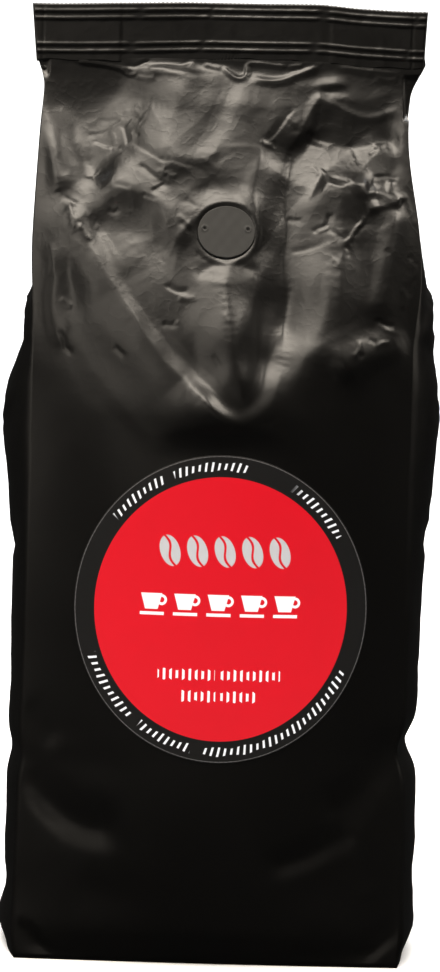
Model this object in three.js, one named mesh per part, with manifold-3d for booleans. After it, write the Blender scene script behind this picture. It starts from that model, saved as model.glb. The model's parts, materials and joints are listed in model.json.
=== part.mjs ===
// A filled one-kilogram coffee bag of satin black film, standing on its flat bottom.
// Millimetres, +Z up, the front of the bag faces -Y, the origin is the middle of the bottom.
// Three separate pieces: the sealed film bag, the round paper label and the degassing valve.
import * as THREE from 'three';
import { mergeVertices } from 'three/addons/utils/BufferGeometryUtils.js';
import Module from 'manifold-3d';

// Driving dimensions of the bag.
const HEIGHT = 332;
const HALF_DEPTH = 45.5;
const HALF_WIDTH = 77;
const CORNER_HALF_WIDTH = 65;
const CORNER_HALF_DEPTH = 27;
const BASE_HALF_DEPTH = 37.5;
const GUSSET_HALF_LENGTH = 37.5;
const SEAL_HEIGHT = 20;
const SEAL_HALF_WIDTH = 69.5;
const SEAL_HALF_THICKNESS = 1;
const RIB_DEPTH = 0.35;
const RIB_OFFSETS = [2.8, 5.3, 14.8, 17];
const RIB_HALF_PITCH = 1.2;

// Heights where the form changes.
const SEAL_BASE = HEIGHT - SEAL_HEIGHT;
const NECK = SEAL_BASE - 1;
const SHOULDER = 185;
const POCKET_APEX = 233;
const POCKET_FULL = 253;
const POCKET_FADE = 9;

// Driving dimensions of the label and the valve.
const LABEL = { x: 1.6, z: 119.3, halfWidth: 49.3, halfHeight: 50.9, gap: 0.3, thickness: 0.4 };
const LABEL_MESH = { rings: 7, sides: 40 };
const VALVE = { x: 0, z: 247, radius: 10, thickness: 1.5, sides: 40, tilt: (18.5 * Math.PI) / 180 };
const VALVE_SEAT = { radius: 10.7, depth: 1.4, gap: 0.3 };
const PIN_HOLE = { x: 7.5, z: 1, radius: 0.35, depth: 0.8, sides: 8 };

// Columns round the bag and rows up its filled part.
const FRONT_COLUMNS = 30;
const GUSSET_COLUMNS = 8;
const BACK_COLUMNS = 14;
const ROWS_BELOW_SHOULDER = 22;
const ROWS_ABOVE_SHOULDER = 30;
const ROW_CROWDING_AT_BOTTOM = 1.15;
const LEAST_ROW = 0.1;

/** A smooth curve through [height, value] knots that never overshoots between two knots. */
function profile(knots) {
  const slope = (i) => (knots[i + 1][1] - knots[i][1]) / (knots[i + 1][0] - knots[i][0]);
  const tangents = knots.map((knot, i) => {
    if (i === 0 || i === knots.length - 1) {
      return 0;
    }
    const [before, after] = [slope(i - 1), slope(i)];
    return before * after > 0 ? (2 * before * after) / (before + after) : 0;
  });
  return (z) => {
    let i = 0;
    while (i < knots.length - 2 && z > knots[i + 1][0]) {
      i += 1;
    }
    const span = knots[i + 1][0] - knots[i][0];
    const t = THREE.MathUtils.clamp((z - knots[i][0]) / span, 0, 1);
    const rest = 1 - t;
    return (
      knots[i][1] * rest * rest * (1 + 2 * t) +
      knots[i + 1][1] * t * t * (3 - 2 * t) +
      span * t * rest * (tangents[i] * rest - tangents[i + 1] * t)
    );
  };
}

// Half the depth at the middle of the front and back panels, and at the four corner creases.
const middleDepth = profile([
  [0, BASE_HALF_DEPTH],
  [12, HALF_DEPTH - 3.5],
  [60, HALF_DEPTH],
  [150, HALF_DEPTH],
  [SHOULDER, HALF_DEPTH - 1],
  [205, 40],
  [247, 25],
  [NECK - 18, 7.2],
  [NECK, SEAL_HALF_THICKNESS],
]);
const cornerDepth = profile([
  [0, BASE_HALF_DEPTH - 1],
  [25, 33.5],
  [70, 28.5],
  [110, CORNER_HALF_DEPTH],
  [196, CORNER_HALF_DEPTH],
  [232, 22],
  [275, 10.5],
  [NECK, SEAL_HALF_THICKNESS],
]);

// Half the width at the corner creases, and how far the left and right gussets swell past them.
const cornerWidths = {
  left: profile([
    [0, CORNER_HALF_WIDTH - 0.5],
    [12, CORNER_HALF_WIDTH],
    [205, CORNER_HALF_WIDTH],
    [246, CORNER_HALF_WIDTH + 2],
    [284, CORNER_HALF_WIDTH + 1.6],
    [300, CORNER_HALF_WIDTH + 1.1],
    [NECK, SEAL_HALF_WIDTH - 0.5],
    [SEAL_BASE, SEAL_HALF_WIDTH],
  ]),
  right: profile([
    [0, CORNER_HALF_WIDTH - 1],
    [12, CORNER_HALF_WIDTH],
    [205, CORNER_HALF_WIDTH],
    [234, CORNER_HALF_WIDTH + 2.6],
    [246, CORNER_HALF_WIDTH + 2.1],
    [284, CORNER_HALF_WIDTH - 1.8],
    [300, CORNER_HALF_WIDTH - 0.8],
    [NECK, SEAL_HALF_WIDTH - 0.5],
    [SEAL_BASE, SEAL_HALF_WIDTH],
  ]),
};
const FULL_SWELL = HALF_WIDTH - CORNER_HALF_WIDTH;
const swells = {
  left: profile([
    [0, 3],
    [12, 7.4],
    [120, 7.4],
    [187, FULL_SWELL],
    [214, 5],
    [POCKET_APEX, 1.5],
  ]),
  right: profile([
    [0, 3],
    [12, 7.6],
    [110, 7.6],
    [190, FULL_SWELL],
    [214, 9],
    [POCKET_APEX, 4],
  ]),
};

// Dents where a fold of the front panel runs out over a corner crease and up across the gusset:
// how deep it is at the front crease and in the gusset, and how much it climbs on its way back.
const CORNER_DENTS = {
  left: { z: 66, reach: 5, crease: 0.8, gusset: 1, climb: 6 },
  right: { z: 71, reach: 7, crease: 2.4, gusset: 3.4, climb: 9 },
};
const DENT_LEFT_AT_BACK = 0.25;

// The main folds of the front panel: a crest (+) or a valley (-) along a line of [x, z] points,
// with the widths of its flanks to the left and to the right of the line's direction.
const FRONT_FOLDS = [
  { name: 'valley beside the valve', height: -3.6, left: 9, right: 11,
    line: [[17, 292], [20, 279], [20.5, 262], [19.5, 232], [18.5, 208], [14, 192]] },
  { name: 'shoulder ridge', height: 2.2, left: 5, right: 16,
    line: [[-53, 252], [-47, 240], [-38, 225], [-27, 209], [-12, 193], [5, 180.5], [17, 189], [22, 212]] },
  { name: 'trunk below the valve', height: 2, left: 6, right: 9,
    line: [[-2, 234], [0, 212], [3, 200], [5, 189]] },
  { name: 'swelling at the upper left', height: 2.2, left: 5, right: 30,
    line: [[-21, 294], [-20, 282], [-23, 268]] },
  { name: 'valley under the left of the seal', height: -2.4, left: 6, right: 8,
    line: [[-60, 302], [-50, 299], [-30, 295.5], [-13, 297]] },
  { name: 'valley under the right of the seal', height: -3.4, left: 13, right: 17,
    line: [[28, 284], [40, 280.5], [54, 281.5]] },
  { name: 'ridge from the right pocket', height: 2, left: 6, right: 7,
    line: [[48, 266], [58, 261], [57, 248], [54, 232], [52, 219]] },
  { name: 'soft valley right of the middle', height: -1.8, left: 7, right: 10,
    line: [[47, 243], [47, 222], [45, 206]] },
  { name: 'right shoulder edge', height: 1.6, left: 6, right: 10,
    line: [[41, 200], [50, 206], [60, 212]] },
  { name: 'left side ridge', height: 1.2, left: 6, right: 5,
    line: [[-59, 243], [-58, 222], [-54, 205]] },
  { name: 'lower left fold', height: -2.8, left: 9, right: 9,
    line: [[-66, 62], [-55, 55], [-45, 49.5], [-28, 46]] },
  { name: 'short lower left fold', height: -1.2, left: 8, right: 8,
    line: [[-66, 85], [-60, 77], [-53, 70]] },
  { name: 'lower right fold', height: -3, left: 10, right: 9,
    line: [[36, 50], [45, 55], [54, 62], [66, 75]] },
  { name: 'low right fold', height: -1.6, left: 8, right: 7,
    line: [[20, 37], [34, 39], [50, 44]] },
];

// Soft folds of the back panel, in the same form; x counts as on the front.
const BACK_FOLDS = [
  { name: 'back shoulder ridge', height: 1.5, left: 16, right: 6,
    line: [[-46, 238], [-24, 208], [2, 192], [26, 206], [48, 236]] },
  { name: 'back upper valley', height: -1.8, left: 12, right: 12,
    line: [[-30, 288], [-12, 270], [-4, 240]] },
  { name: 'back right valley', height: -1.6, left: 10, right: 12,
    line: [[34, 292], [30, 268], [36, 246]] },
  { name: 'back low fold', height: -1.6, left: 9, right: 9,
    line: [[30, 40], [46, 52], [62, 70]] },
];

// How the folds die away: at the corner creases, under the seal, at the bottom, and where the film
// lies smooth, round the valve and under the label.
const EDGE_POWER = 10;
const SEAL_FADE = 10;
const BOTTOM_FADE = 12;
const SMOOTH_ROUND_VALVE = { margin: 2.5, power: 6 };
const SMOOTH_UNDER_LABEL = { margin: 9, power: 24 };
const CREASE_SOFTNESS = 0.12;

/** The nearest place on a bent line: how far off it is, and on which side. */
function measureFromLine(line, x, z) {
  let nearest = { distance: Infinity, side: 1 };
  for (let i = 0; i + 1 < line.length; i += 1) {
    const [x0, z0] = line[i];
    const [dx, dz] = [line[i + 1][0] - x0, line[i + 1][1] - z0];
    const t = THREE.MathUtils.clamp(((x - x0) * dx + (z - z0) * dz) / (dx * dx + dz * dz), 0, 1);
    const [ex, ez] = [x - x0 - t * dx, z - z0 - t * dz];
    const distance = Math.hypot(ex, ez);
    if (distance < nearest.distance) {
      nearest = { distance, side: dx * ez - dz * ex >= 0 ? 1 : -1 };
    }
  }
  return nearest;
}

/** A tent over the fold's line: flat flanks, and a crest and feet that are a little rounded. */
function foldHeight({ line, height, left, right }, x, z) {
  const { distance, side } = measureFromLine(line, x, z);
  const t = distance / (side > 0 ? left : right);
  const slope = 1 - Math.sqrt(t * t + CREASE_SOFTNESS ** 2);
  return (height * (slope + Math.sqrt(slope * slope + CREASE_SOFTNESS ** 2))) / 2;
}

/** Zero near a round spot where the film lies smooth, and one away from it. */
function awayFrom(spot, radius, { margin, power }, x, z) {
  const distance = Math.hypot(x - spot.x, z - spot.z) / (radius + margin);
  return 1 - Math.exp(-(distance ** power));
}

function loose(x, z) {
  return (
    awayFrom(VALVE, VALVE_SEAT.radius, SMOOTH_ROUND_VALVE, x, z) *
    awayFrom(LABEL, LABEL.halfHeight, SMOOTH_UNDER_LABEL, x, z)
  );
}

function relief(folds, x, z, edge) {
  const height = folds.reduce((sum, fold) => sum + foldHeight(fold, x, z), 0);
  const belowSeal = THREE.MathUtils.smoothstep(NECK - z, 0, SEAL_FADE);
  const aboveBottom = THREE.MathUtils.smoothstep(z, 0, BOTTOM_FADE);
  return height * belowSeal * aboveBottom * (1 - Math.abs(x / edge) ** EDGE_POWER);
}

/** How strong the side's dent is at height z, from 0 at the front crease to 1 at the back one. */
function dentShare(side, z, back) {
  const { z: middle, reach, climb } = CORNER_DENTS[side];
  const share = Math.exp(-(((z - middle - climb * back) / reach) ** 2));
  return share * THREE.MathUtils.lerp(1, DENT_LEFT_AT_BACK, back);
}

function cornerX(side, z) {
  return cornerWidths[side](z) - CORNER_DENTS[side].crease * dentShare(side, z, 0);
}

/** Depth of a panel between its two corner creases: a flat arch, and none in the seal. */
function arch(x, z, edge) {
  return middleDepth(z) - (middleDepth(z) - cornerDepth(z)) * (x / edge) ** 2;
}

/** The front panel's surface, as a distance in front of the middle plane. */
function frontDepth(x, z) {
  const edge = cornerX(x < 0 ? 'left' : 'right', z);
  return arch(x, z, edge) + relief(FRONT_FOLDS, x, z, edge) * loose(x, z);
}

function backDepth(x, z) {
  const edge = cornerX(x < 0 ? 'left' : 'right', z);
  return arch(x, z, edge) + relief(BACK_FOLDS, x, z, edge);
}

/** How far the gusset stands out past the corner creases (+), or is tucked in between them (-). */
function gussetOffset(side, y, z) {
  const half = cornerDepth(z);
  const across = Math.min(Math.abs(y) / half, 1);
  const dent = CORNER_DENTS[side].gusset * dentShare(side, z, (y / half + 1) / 2);
  const swell = (swells[side](Math.min(z, POCKET_APEX)) - dent) * (1 - across ** 2);
  const tuck = Math.sqrt(Math.max(GUSSET_HALF_LENGTH ** 2 - half ** 2, 0)) * (1 - across);
  const folded = THREE.MathUtils.smoothstep(z, POCKET_APEX - 3, POCKET_FULL);
  const open = THREE.MathUtils.smoothstep(NECK - z, 0, POCKET_FADE);
  return (swell * (1 - folded) - tuck * folded) * open;
}

/** One closed section of the bag at height z, seen from above it runs round anticlockwise. */
function section(z, thickness) {
  const points = [];
  const left = cornerX('left', z);
  const right = cornerX('right', z);
  const corner = cornerDepth(z) * thickness;
  const walk = (count, place) => {
    for (let i = 0; i < count; i += 1) {
      points.push(new THREE.Vector3(...place(i / count), z));
    }
  };
  const along = (t) => THREE.MathUtils.lerp(-left, right, t);
  walk(FRONT_COLUMNS, (t) => [along(t), -frontDepth(along(t), z) * thickness]);
  walk(GUSSET_COLUMNS, (t) => {
    const y = corner * (2 * t - 1);
    return [right + gussetOffset('right', y, z), y];
  });
  walk(BACK_COLUMNS, (t) => [along(1 - t), backDepth(along(1 - t), z) * thickness]);
  walk(GUSSET_COLUMNS, (t) => {
    const y = corner * (1 - 2 * t);
    return [-left - gussetOffset('left', y, z), y];
  });
  return points;
}

/** Heights of the sections: even steps below and above the shoulder, then three to each seal rib. */
function sectionHeights() {
  const rows = [];
  for (let i = 0; i < ROWS_BELOW_SHOULDER; i += 1) {
    rows.push({ z: SHOULDER * (i / ROWS_BELOW_SHOULDER) ** ROW_CROWDING_AT_BOTTOM, thickness: 1 });
  }
  for (let i = 0; i <= ROWS_ABOVE_SHOULDER; i += 1) {
    rows.push({ z: THREE.MathUtils.lerp(SHOULDER, NECK, i / ROWS_ABOVE_SHOULDER), thickness: 1 });
  }
  rows.push({ z: SEAL_BASE, thickness: 1 });
  const raised = 1 + RIB_DEPTH / SEAL_HALF_THICKNESS;
  for (const offset of [...RIB_OFFSETS].reverse()) {
    const last = rows[rows.length - 1].z;
    const foot = HEIGHT - offset - RIB_HALF_PITCH;
    if (foot > last + LEAST_ROW) {
      rows.push({ z: foot, thickness: 1 });
    }
    rows.push({ z: HEIGHT - offset, thickness: raised });
    rows.push({ z: HEIGHT - offset + RIB_HALF_PITCH, thickness: 1 });
  }
  rows.push({ z: HEIGHT, thickness: 1 });
  return rows;
}

/** A closed body from a stack of rings of equal length, capped flat at both ends. */
function skin(rings) {
  const count = rings[0].length;
  const positions = rings.flat().flatMap((p) => p.toArray());
  const index = [];
  for (let j = 0; j + 1 < rings.length; j += 1) {
    for (let i = 0; i < count; i += 1) {
      const next = (i + 1) % count;
      const [a, b] = [j * count + i, j * count + next];
      index.push(a, b, b + count, a, b + count, a + count);
    }
  }
  const cap = (ring, first, upward) => {
    const outline = ring.map((p) => new THREE.Vector2(p.x, p.y));
    for (const [a, b, c] of THREE.ShapeUtils.triangulateShape(outline, [])) {
      index.push(...(upward ? [first + a, first + b, first + c] : [first + c, first + b, first + a]));
    }
  };
  cap(rings[0], 0, false);
  cap(rings[rings.length - 1], (rings.length - 1) * count, true);
  const geometry = new THREE.BufferGeometry();
  geometry.setAttribute('position', new THREE.Float32BufferAttribute(positions, 3));
  geometry.setIndex(index);
  return geometry;
}

/** The label: a round sheet that follows the belly of the bag, a little in front of it. */
function labelGeometry() {
  const { x, z, halfWidth, halfHeight, gap, thickness } = LABEL;
  const { rings, sides } = LABEL_MESH;
  const ring = (share, lift) =>
    Array.from({ length: sides }, (_, i) => {
      const angle = (2 * Math.PI * i) / sides;
      const px = x + halfWidth * share * Math.cos(angle);
      const pz = z + halfHeight * share * Math.sin(angle);
      return new THREE.Vector3(px, -frontDepth(px, pz) - lift, pz);
    });
  const shares = Array.from({ length: rings }, (_, i) => (i + 1) / rings);
  const stack = [
    ...shares.map((share) => ring(share, gap)),
    ...shares.reverse().map((share) => ring(share, gap + thickness)),
  ];
  const positions = stack.flat().flatMap((p) => p.toArray());
  const index = [];
  for (let j = 0; j + 1 < stack.length; j += 1) {
    for (let i = 0; i < sides; i += 1) {
      const next = (i + 1) % sides;
      const [a, b] = [j * sides + i, j * sides + next];
      index.push(a, b, b + sides, a, b + sides, a + sides);
    }
  }
  const middle = (lift) => [x, -frontDepth(x, z) - lift, z];
  const back = positions.length / 3;
  positions.push(...middle(gap), ...middle(gap + thickness));
  const lastRing = (stack.length - 1) * sides;
  for (let i = 0; i < sides; i += 1) {
    const next = (i + 1) % sides;
    index.push(back, next, i, back + 1, lastRing + i, lastRing + next);
  }
  const geometry = new THREE.BufferGeometry();
  geometry.setAttribute('position', new THREE.Float32BufferAttribute(positions, 3));
  geometry.setIndex(index);
  return geometry;
}

/** A disc square to the valve's axis, from one distance out of the film to another. */
function valveDisc(radius, from, to, sides, x = 0, z = 0) {
  const disc = new THREE.CylinderGeometry(radius, radius, to - from, sides);
  disc.translate(x, -(from + to) / 2, z);
  disc.rotateX(-VALVE.tilt);
  disc.translate(VALVE.x, -frontDepth(VALVE.x, VALVE.z), VALVE.z);
  return disc;
}

const wasm = await Module();
wasm.setup();

function toSolid(geometry) {
  const bare = geometry.clone();
  bare.deleteAttribute('normal');
  bare.deleteAttribute('uv');
  const merged = mergeVertices(bare, 1e-5);
  return new wasm.Manifold(
    new wasm.Mesh({
      numProp: 3,
      vertProperties: Float32Array.from(merged.attributes.position.array),
      triVerts: Uint32Array.from(merged.index.array),
    }),
  );
}

function toGeometry(solid) {
  const { vertProperties, triVerts } = solid.getMesh();
  const geometry = new THREE.BufferGeometry();
  geometry.setAttribute('position', new THREE.BufferAttribute(Float32Array.from(vertProperties), 3));
  geometry.setIndex(new THREE.BufferAttribute(Uint32Array.from(triVerts), 1));
  return geometry;
}

/** The filled and sealed film bag, with the round seat that the valve is set in. */
function bagGeometry() {
  const body = toSolid(skin(sectionHeights().map(({ z, thickness }) => section(z, thickness))));
  const seat = toSolid(valveDisc(VALVE_SEAT.radius, -VALVE_SEAT.depth, VALVE_SEAT.depth, VALVE.sides));
  return toGeometry(body.subtract(seat));
}

/** The valve's disc, with its two pin holes. */
function valveGeometry() {
  const back = VALVE_SEAT.gap - VALVE_SEAT.depth;
  const face = back + VALVE.thickness;
  const disc = toSolid(valveDisc(VALVE.radius, back, face, VALVE.sides));
  const holes = [-PIN_HOLE.x, PIN_HOLE.x].map((x) =>
    toSolid(
      valveDisc(PIN_HOLE.radius, face - PIN_HOLE.depth, face + PIN_HOLE.depth, PIN_HOLE.sides, x, PIN_HOLE.z),
    ),
  );
  return toGeometry(holes.reduce((solid, hole) => solid.subtract(hole), disc));
}

function piece(name, geometry, color, roughness) {
  geometry.computeVertexNormals();
  const mesh = new THREE.Mesh(geometry, new THREE.MeshStandardMaterial({ color, roughness, metalness: 0 }));
  mesh.name = name;
  return mesh;
}

const coffeeBag = new THREE.Group();
coffeeBag.add(
  piece('bag', bagGeometry(), 0x1b1b1a, 0.38),
  piece('label', labelGeometry(), 0xd71423, 0.5),
  piece('valve', valveGeometry(), 0x504e48, 0.5),
);

export default coffeeBag;
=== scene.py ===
"""A filled coffee bag of satin black film, standing upright: its looks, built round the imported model.

Every shape is worked out in millimetres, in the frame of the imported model: +Z up, the front facing -Y.
"""

import json
import logging
import math
from dataclasses import dataclass
from enum import Enum
from typing import Mapping, Sequence

import bpy
import numpy as np
from mathutils import Matrix, Vector

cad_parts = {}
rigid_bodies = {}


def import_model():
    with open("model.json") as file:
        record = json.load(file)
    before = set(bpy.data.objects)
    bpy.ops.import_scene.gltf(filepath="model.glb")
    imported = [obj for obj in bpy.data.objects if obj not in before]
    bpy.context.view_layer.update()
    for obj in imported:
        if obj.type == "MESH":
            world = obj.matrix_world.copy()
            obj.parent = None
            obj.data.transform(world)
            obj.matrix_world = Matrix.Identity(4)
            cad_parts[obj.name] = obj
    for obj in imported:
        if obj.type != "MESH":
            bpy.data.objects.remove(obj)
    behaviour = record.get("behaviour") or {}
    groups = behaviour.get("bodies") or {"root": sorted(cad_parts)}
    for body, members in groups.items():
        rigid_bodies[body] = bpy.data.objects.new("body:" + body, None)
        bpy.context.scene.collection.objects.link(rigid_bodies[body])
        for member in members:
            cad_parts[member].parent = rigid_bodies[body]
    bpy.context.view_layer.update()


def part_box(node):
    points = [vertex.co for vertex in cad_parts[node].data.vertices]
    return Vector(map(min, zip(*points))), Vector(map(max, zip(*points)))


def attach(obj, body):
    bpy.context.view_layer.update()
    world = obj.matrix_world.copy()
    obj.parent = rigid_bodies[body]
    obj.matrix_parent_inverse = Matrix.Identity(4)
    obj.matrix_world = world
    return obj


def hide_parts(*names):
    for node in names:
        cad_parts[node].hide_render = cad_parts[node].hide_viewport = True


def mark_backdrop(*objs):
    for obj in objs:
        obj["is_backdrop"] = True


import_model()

MM = 0.001
BODY = "root"
SEED = 41
LATTICE_HEIGHTS = 256
CORNER_SKEW = (math.sqrt(3.0) - 1.0) / 2.0

log = logging.getLogger("coffee_bag")

Array = np.ndarray
Color = tuple[float, float, float]
Pair = tuple[float, float]
Line = tuple[Pair, ...]
Patch = tuple[Pair, Pair]
Spans = tuple[tuple[float, float, int], ...]


class Side(Enum):
    """The two gussets, by the direction that each one faces along X."""

    LEFT = -1
    RIGHT = 1


def ease(value: Array, start: float, end: float) -> Array:
    """A smooth ramp: 0 up to start, 1 from end on, and 3t^2 - 2t^3 between them.

    Args:
        value: The places to look at.
        start: Where the ramp leaves 0.
        end: Where the ramp reaches 1.

    Returns:
        The ramp's height at each place.
    """
    t = np.clip((value - start) / (end - start), 0.0, 1.0)
    return t * t * (3.0 - 2.0 * t)


class Profile:
    """A smooth curve through (height, value) knots that never overshoots between two knots."""

    def __init__(self, *knots: Pair) -> None:
        """Gives each inner knot the harmonic mean of the slopes on its two sides.

        Args:
            knots: The knots, in order of height.
        """
        self.z, self.value = np.array(knots, float).T
        slope = np.diff(self.value) / np.diff(self.z)
        before, after = slope[:-1], slope[1:]
        same_way = before * after > 0.0
        mean = 2.0 * before * after / np.where(same_way, before + after, 1.0)
        self.tangent = np.concatenate(([0.0], np.where(same_way, mean, 0.0), [0.0]))

    def __call__(self, z: Array) -> Array:
        """The curve's value at each height, by the cubic Hermite formula.

        Args:
            z: The heights.

        Returns:
            The values, in the shape of z.
        """
        z = np.asarray(z, float)
        i = np.clip(np.searchsorted(self.z, z, side="right") - 1, 0, len(self.z) - 2)
        span = self.z[i + 1] - self.z[i]
        t = np.clip((z - self.z[i]) / span, 0.0, 1.0)
        rest = 1.0 - t
        bend = span * t * rest * (self.tangent[i] * rest - self.tangent[i + 1] * t)
        return self.value[i] * rest * rest * (1 + 2 * t) + self.value[i + 1] * t * t * (3 - 2 * t) + bend


def smooth_line(points: Line, steps: int = 5) -> Array:
    """Bends a line of a few points into a smooth one that passes through them all.

    Each stretch is the Catmull-Rom cubic of its two ends and their neighbours.

    Args:
        points: The points, at least two.
        steps: The pieces that each stretch is cut into.

    Returns:
        The points of the smooth line, one to a row.
    """
    p = np.array(points, float)
    if len(p) == 2:
        return p
    p = np.vstack((2 * p[0] - p[1], p, 2 * p[-1] - p[-2]))
    t = (np.arange(steps) / steps)[None, :, None]
    a, b, c, d = (p[i : len(p) - 3 + i][:, None, :] for i in range(4))
    curve = 2 * b + (c - a) * t + (2 * a - 5 * b + 4 * c - d) * t**2 + (3 * b - a - 3 * c + d) * t**3
    return np.vstack((0.5 * curve.reshape(-1, 2), p[-2]))


@dataclass(frozen=True)
class Fold:
    """A crest (+) or a valley (-) in a panel of film, along a bent line of (x, z) points.

    Across the line it is a tent: two flat flanks, with the crest and the feet a little rounded. The
    flanks lie to the left and the right of the line's own direction. Along the line it rises from
    nothing over the share called fade, at each end, or over the share called end at the last one.
    """

    height: float
    left: float
    right: float
    line: Line
    fade: float = 0.25
    softness: float = 0.1
    end: float = 0.0

    def rise(self, x: Array, z: Array) -> Array:
        """How far the fold lifts the film at each place.

        Args:
            x: The places' distances to the right of the middle.
            z: The places' heights.

        Returns:
            The lift, in the shape of x.
        """
        line = smooth_line(self.line)
        reach = 1.6 * max(self.left, self.right)
        low, high = line.min(0) - reach, line.max(0) + reach
        near = (x > low[0]) & (x < high[0]) & (z > low[1]) & (z < high[1])
        lift = np.zeros_like(x)
        if not near.any():
            return lift
        px, pz = x[near], z[near]
        lengths = np.hypot(*np.diff(line, axis=0).T)
        starts = np.concatenate(([0.0], np.cumsum(lengths)))
        # Each place looks at all the stretches of the line, and the nearest ones count most.
        step = (np.diff(line, axis=0) / lengths[:, None]).T[:, :, None]
        dx, dz = px - line[:-1, :1], pz - line[:-1, 1:]
        t = np.clip(dx * step[0] + dz * step[1], 0.0, lengths[:, None])
        ex, ez = dx - t * step[0], dz - t * step[1]
        distance = np.hypot(ex, ez)
        best = distance.min(0)
        weight = np.exp(-(distance - best) / (0.25 + 0.12 * best))
        weight /= weight.sum(0)
        on_left = (weight * (step[0] * ez > step[1] * ex)).sum(0)
        along = (weight * (starts[:-1, None] + t)).sum(0) / starts[-1]
        across = best / (self.right + (self.left - self.right) * on_left)
        slope = 1.0 - np.sqrt(across**2 + self.softness**2)
        tent = 0.5 * (slope + np.sqrt(slope**2 + self.softness**2))
        tent = tent * ease(1.6 - across, 0.0, 0.4)
        tent = tent * ease(along, 0.0, self.fade) * ease(1.0 - along, 0.0, self.end or self.fade)
        lift[near] = self.height * tent
        return lift


def total_rise(folds: Sequence[Fold], x: Array, z: Array) -> Array:
    """The sum of the folds' lifts at each place.

    Args:
        folds: The folds.
        x: The places' distances to the right of the middle.
        z: The places' heights.

    Returns:
        The lift, in the shape of x.
    """
    lift = np.zeros_like(x)
    for fold in folds:
        lift += fold.rise(x, z)
    return lift


@dataclass(frozen=True)
class Facets:
    """Crumpled film: flat triangular facets that meet in sharp creases.

    The places are skewed onto a lattice of equal triangles, whose corners have random heights, and
    each facet is the plane through its three corners. A slow wave bends the lattice first.
    """

    cell: float
    height: float
    seed: int
    turn: float = 0.4
    wave: float = 0.35

    def _corner(self, table: Array, i: Array, j: Array) -> Array:
        """The random height at lattice corner (i, j), picked by a sum of whole multiples of i and j."""
        return table[(i * 73 + j * 151 + (i * j) % 17 * 29) % LATTICE_HEIGHTS]

    def rise(self, x: Array, z: Array) -> Array:
        """How far the facets lift the film at each place.

        Args:
            x: The places' distances to the right of the middle.
            z: The places' heights.

        Returns:
            The lift, in the shape of x.
        """
        rng = np.random.default_rng(self.seed)
        table = rng.uniform(-1.0, 1.0, LATTICE_HEIGHTS)
        phase = rng.uniform(0.0, 2.0 * math.pi, 4)
        c, s = math.cos(self.turn), math.sin(self.turn)
        u, v = (c * x - s * z) / self.cell, (s * x + c * z) / self.cell
        u, v = (
            u + self.wave * (np.sin(1.9 * v + phase[0]) + 0.6 * np.sin(3.7 * u - 1.3 * v + phase[1])),
            v + self.wave * (np.sin(2.3 * u + phase[2]) + 0.6 * np.sin(2.9 * v + 1.7 * u + phase[3])),
        )
        skew = (u + v) * CORNER_SKEW
        a, b = u + skew, v + skew
        i, j = np.floor(a).astype(int), np.floor(b).astype(int)
        fa, fb = a - i, b - j
        upper = fa > fb
        most, least = np.maximum(fa, fb), np.minimum(fa, fb)
        first = self._corner(table, i, j)
        last = self._corner(table, i + 1, j + 1)
        middle = np.where(upper, self._corner(table, i + 1, j), self._corner(table, i, j + 1))
        return self.height * (first * (1.0 - most) + middle * (most - least) + last * least)


def patches(places: Sequence[Patch], x: Array, z: Array) -> Array:
    """The sum of soft round patches: exp(-r^2) of the distance from each one's middle, in its radii."""
    return sum(np.exp(-(((x - a) / wide) ** 2) - ((z - b) / high) ** 2) for (a, b), (wide, high) in places)


# The crumple of the panels, from broad facets to small ones.
BROAD_FACETS = Facets(15.0, 0.26, SEED)
FINE_FACETS = Facets(6.0, 0.11, SEED + 1, 1.1)
SMALL_FACETS = Facets(2.6, 0.05, SEED + 2, 2.0)

# Where the front is crumpled most, high up and low down: each patch's middle and its two radii.
HIGH_PATCHES: tuple[Patch, ...] = (
    ((-39, 282), (8, 7)), ((-52, 250), (7, 12)), ((45, 249), (8, 6)), ((36, 268), (8, 5)),
    ((50, 208), (8, 6)), ((63, 232), (4, 10)), ((-33, 307), (9, 3)), ((24, 288), (8, 8)),
)
LOW_PATCHES: tuple[Patch, ...] = (((-50, 52), (16, 16)), ((48, 54), (18, 16)), ((0, 12), (60, 14)))


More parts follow.
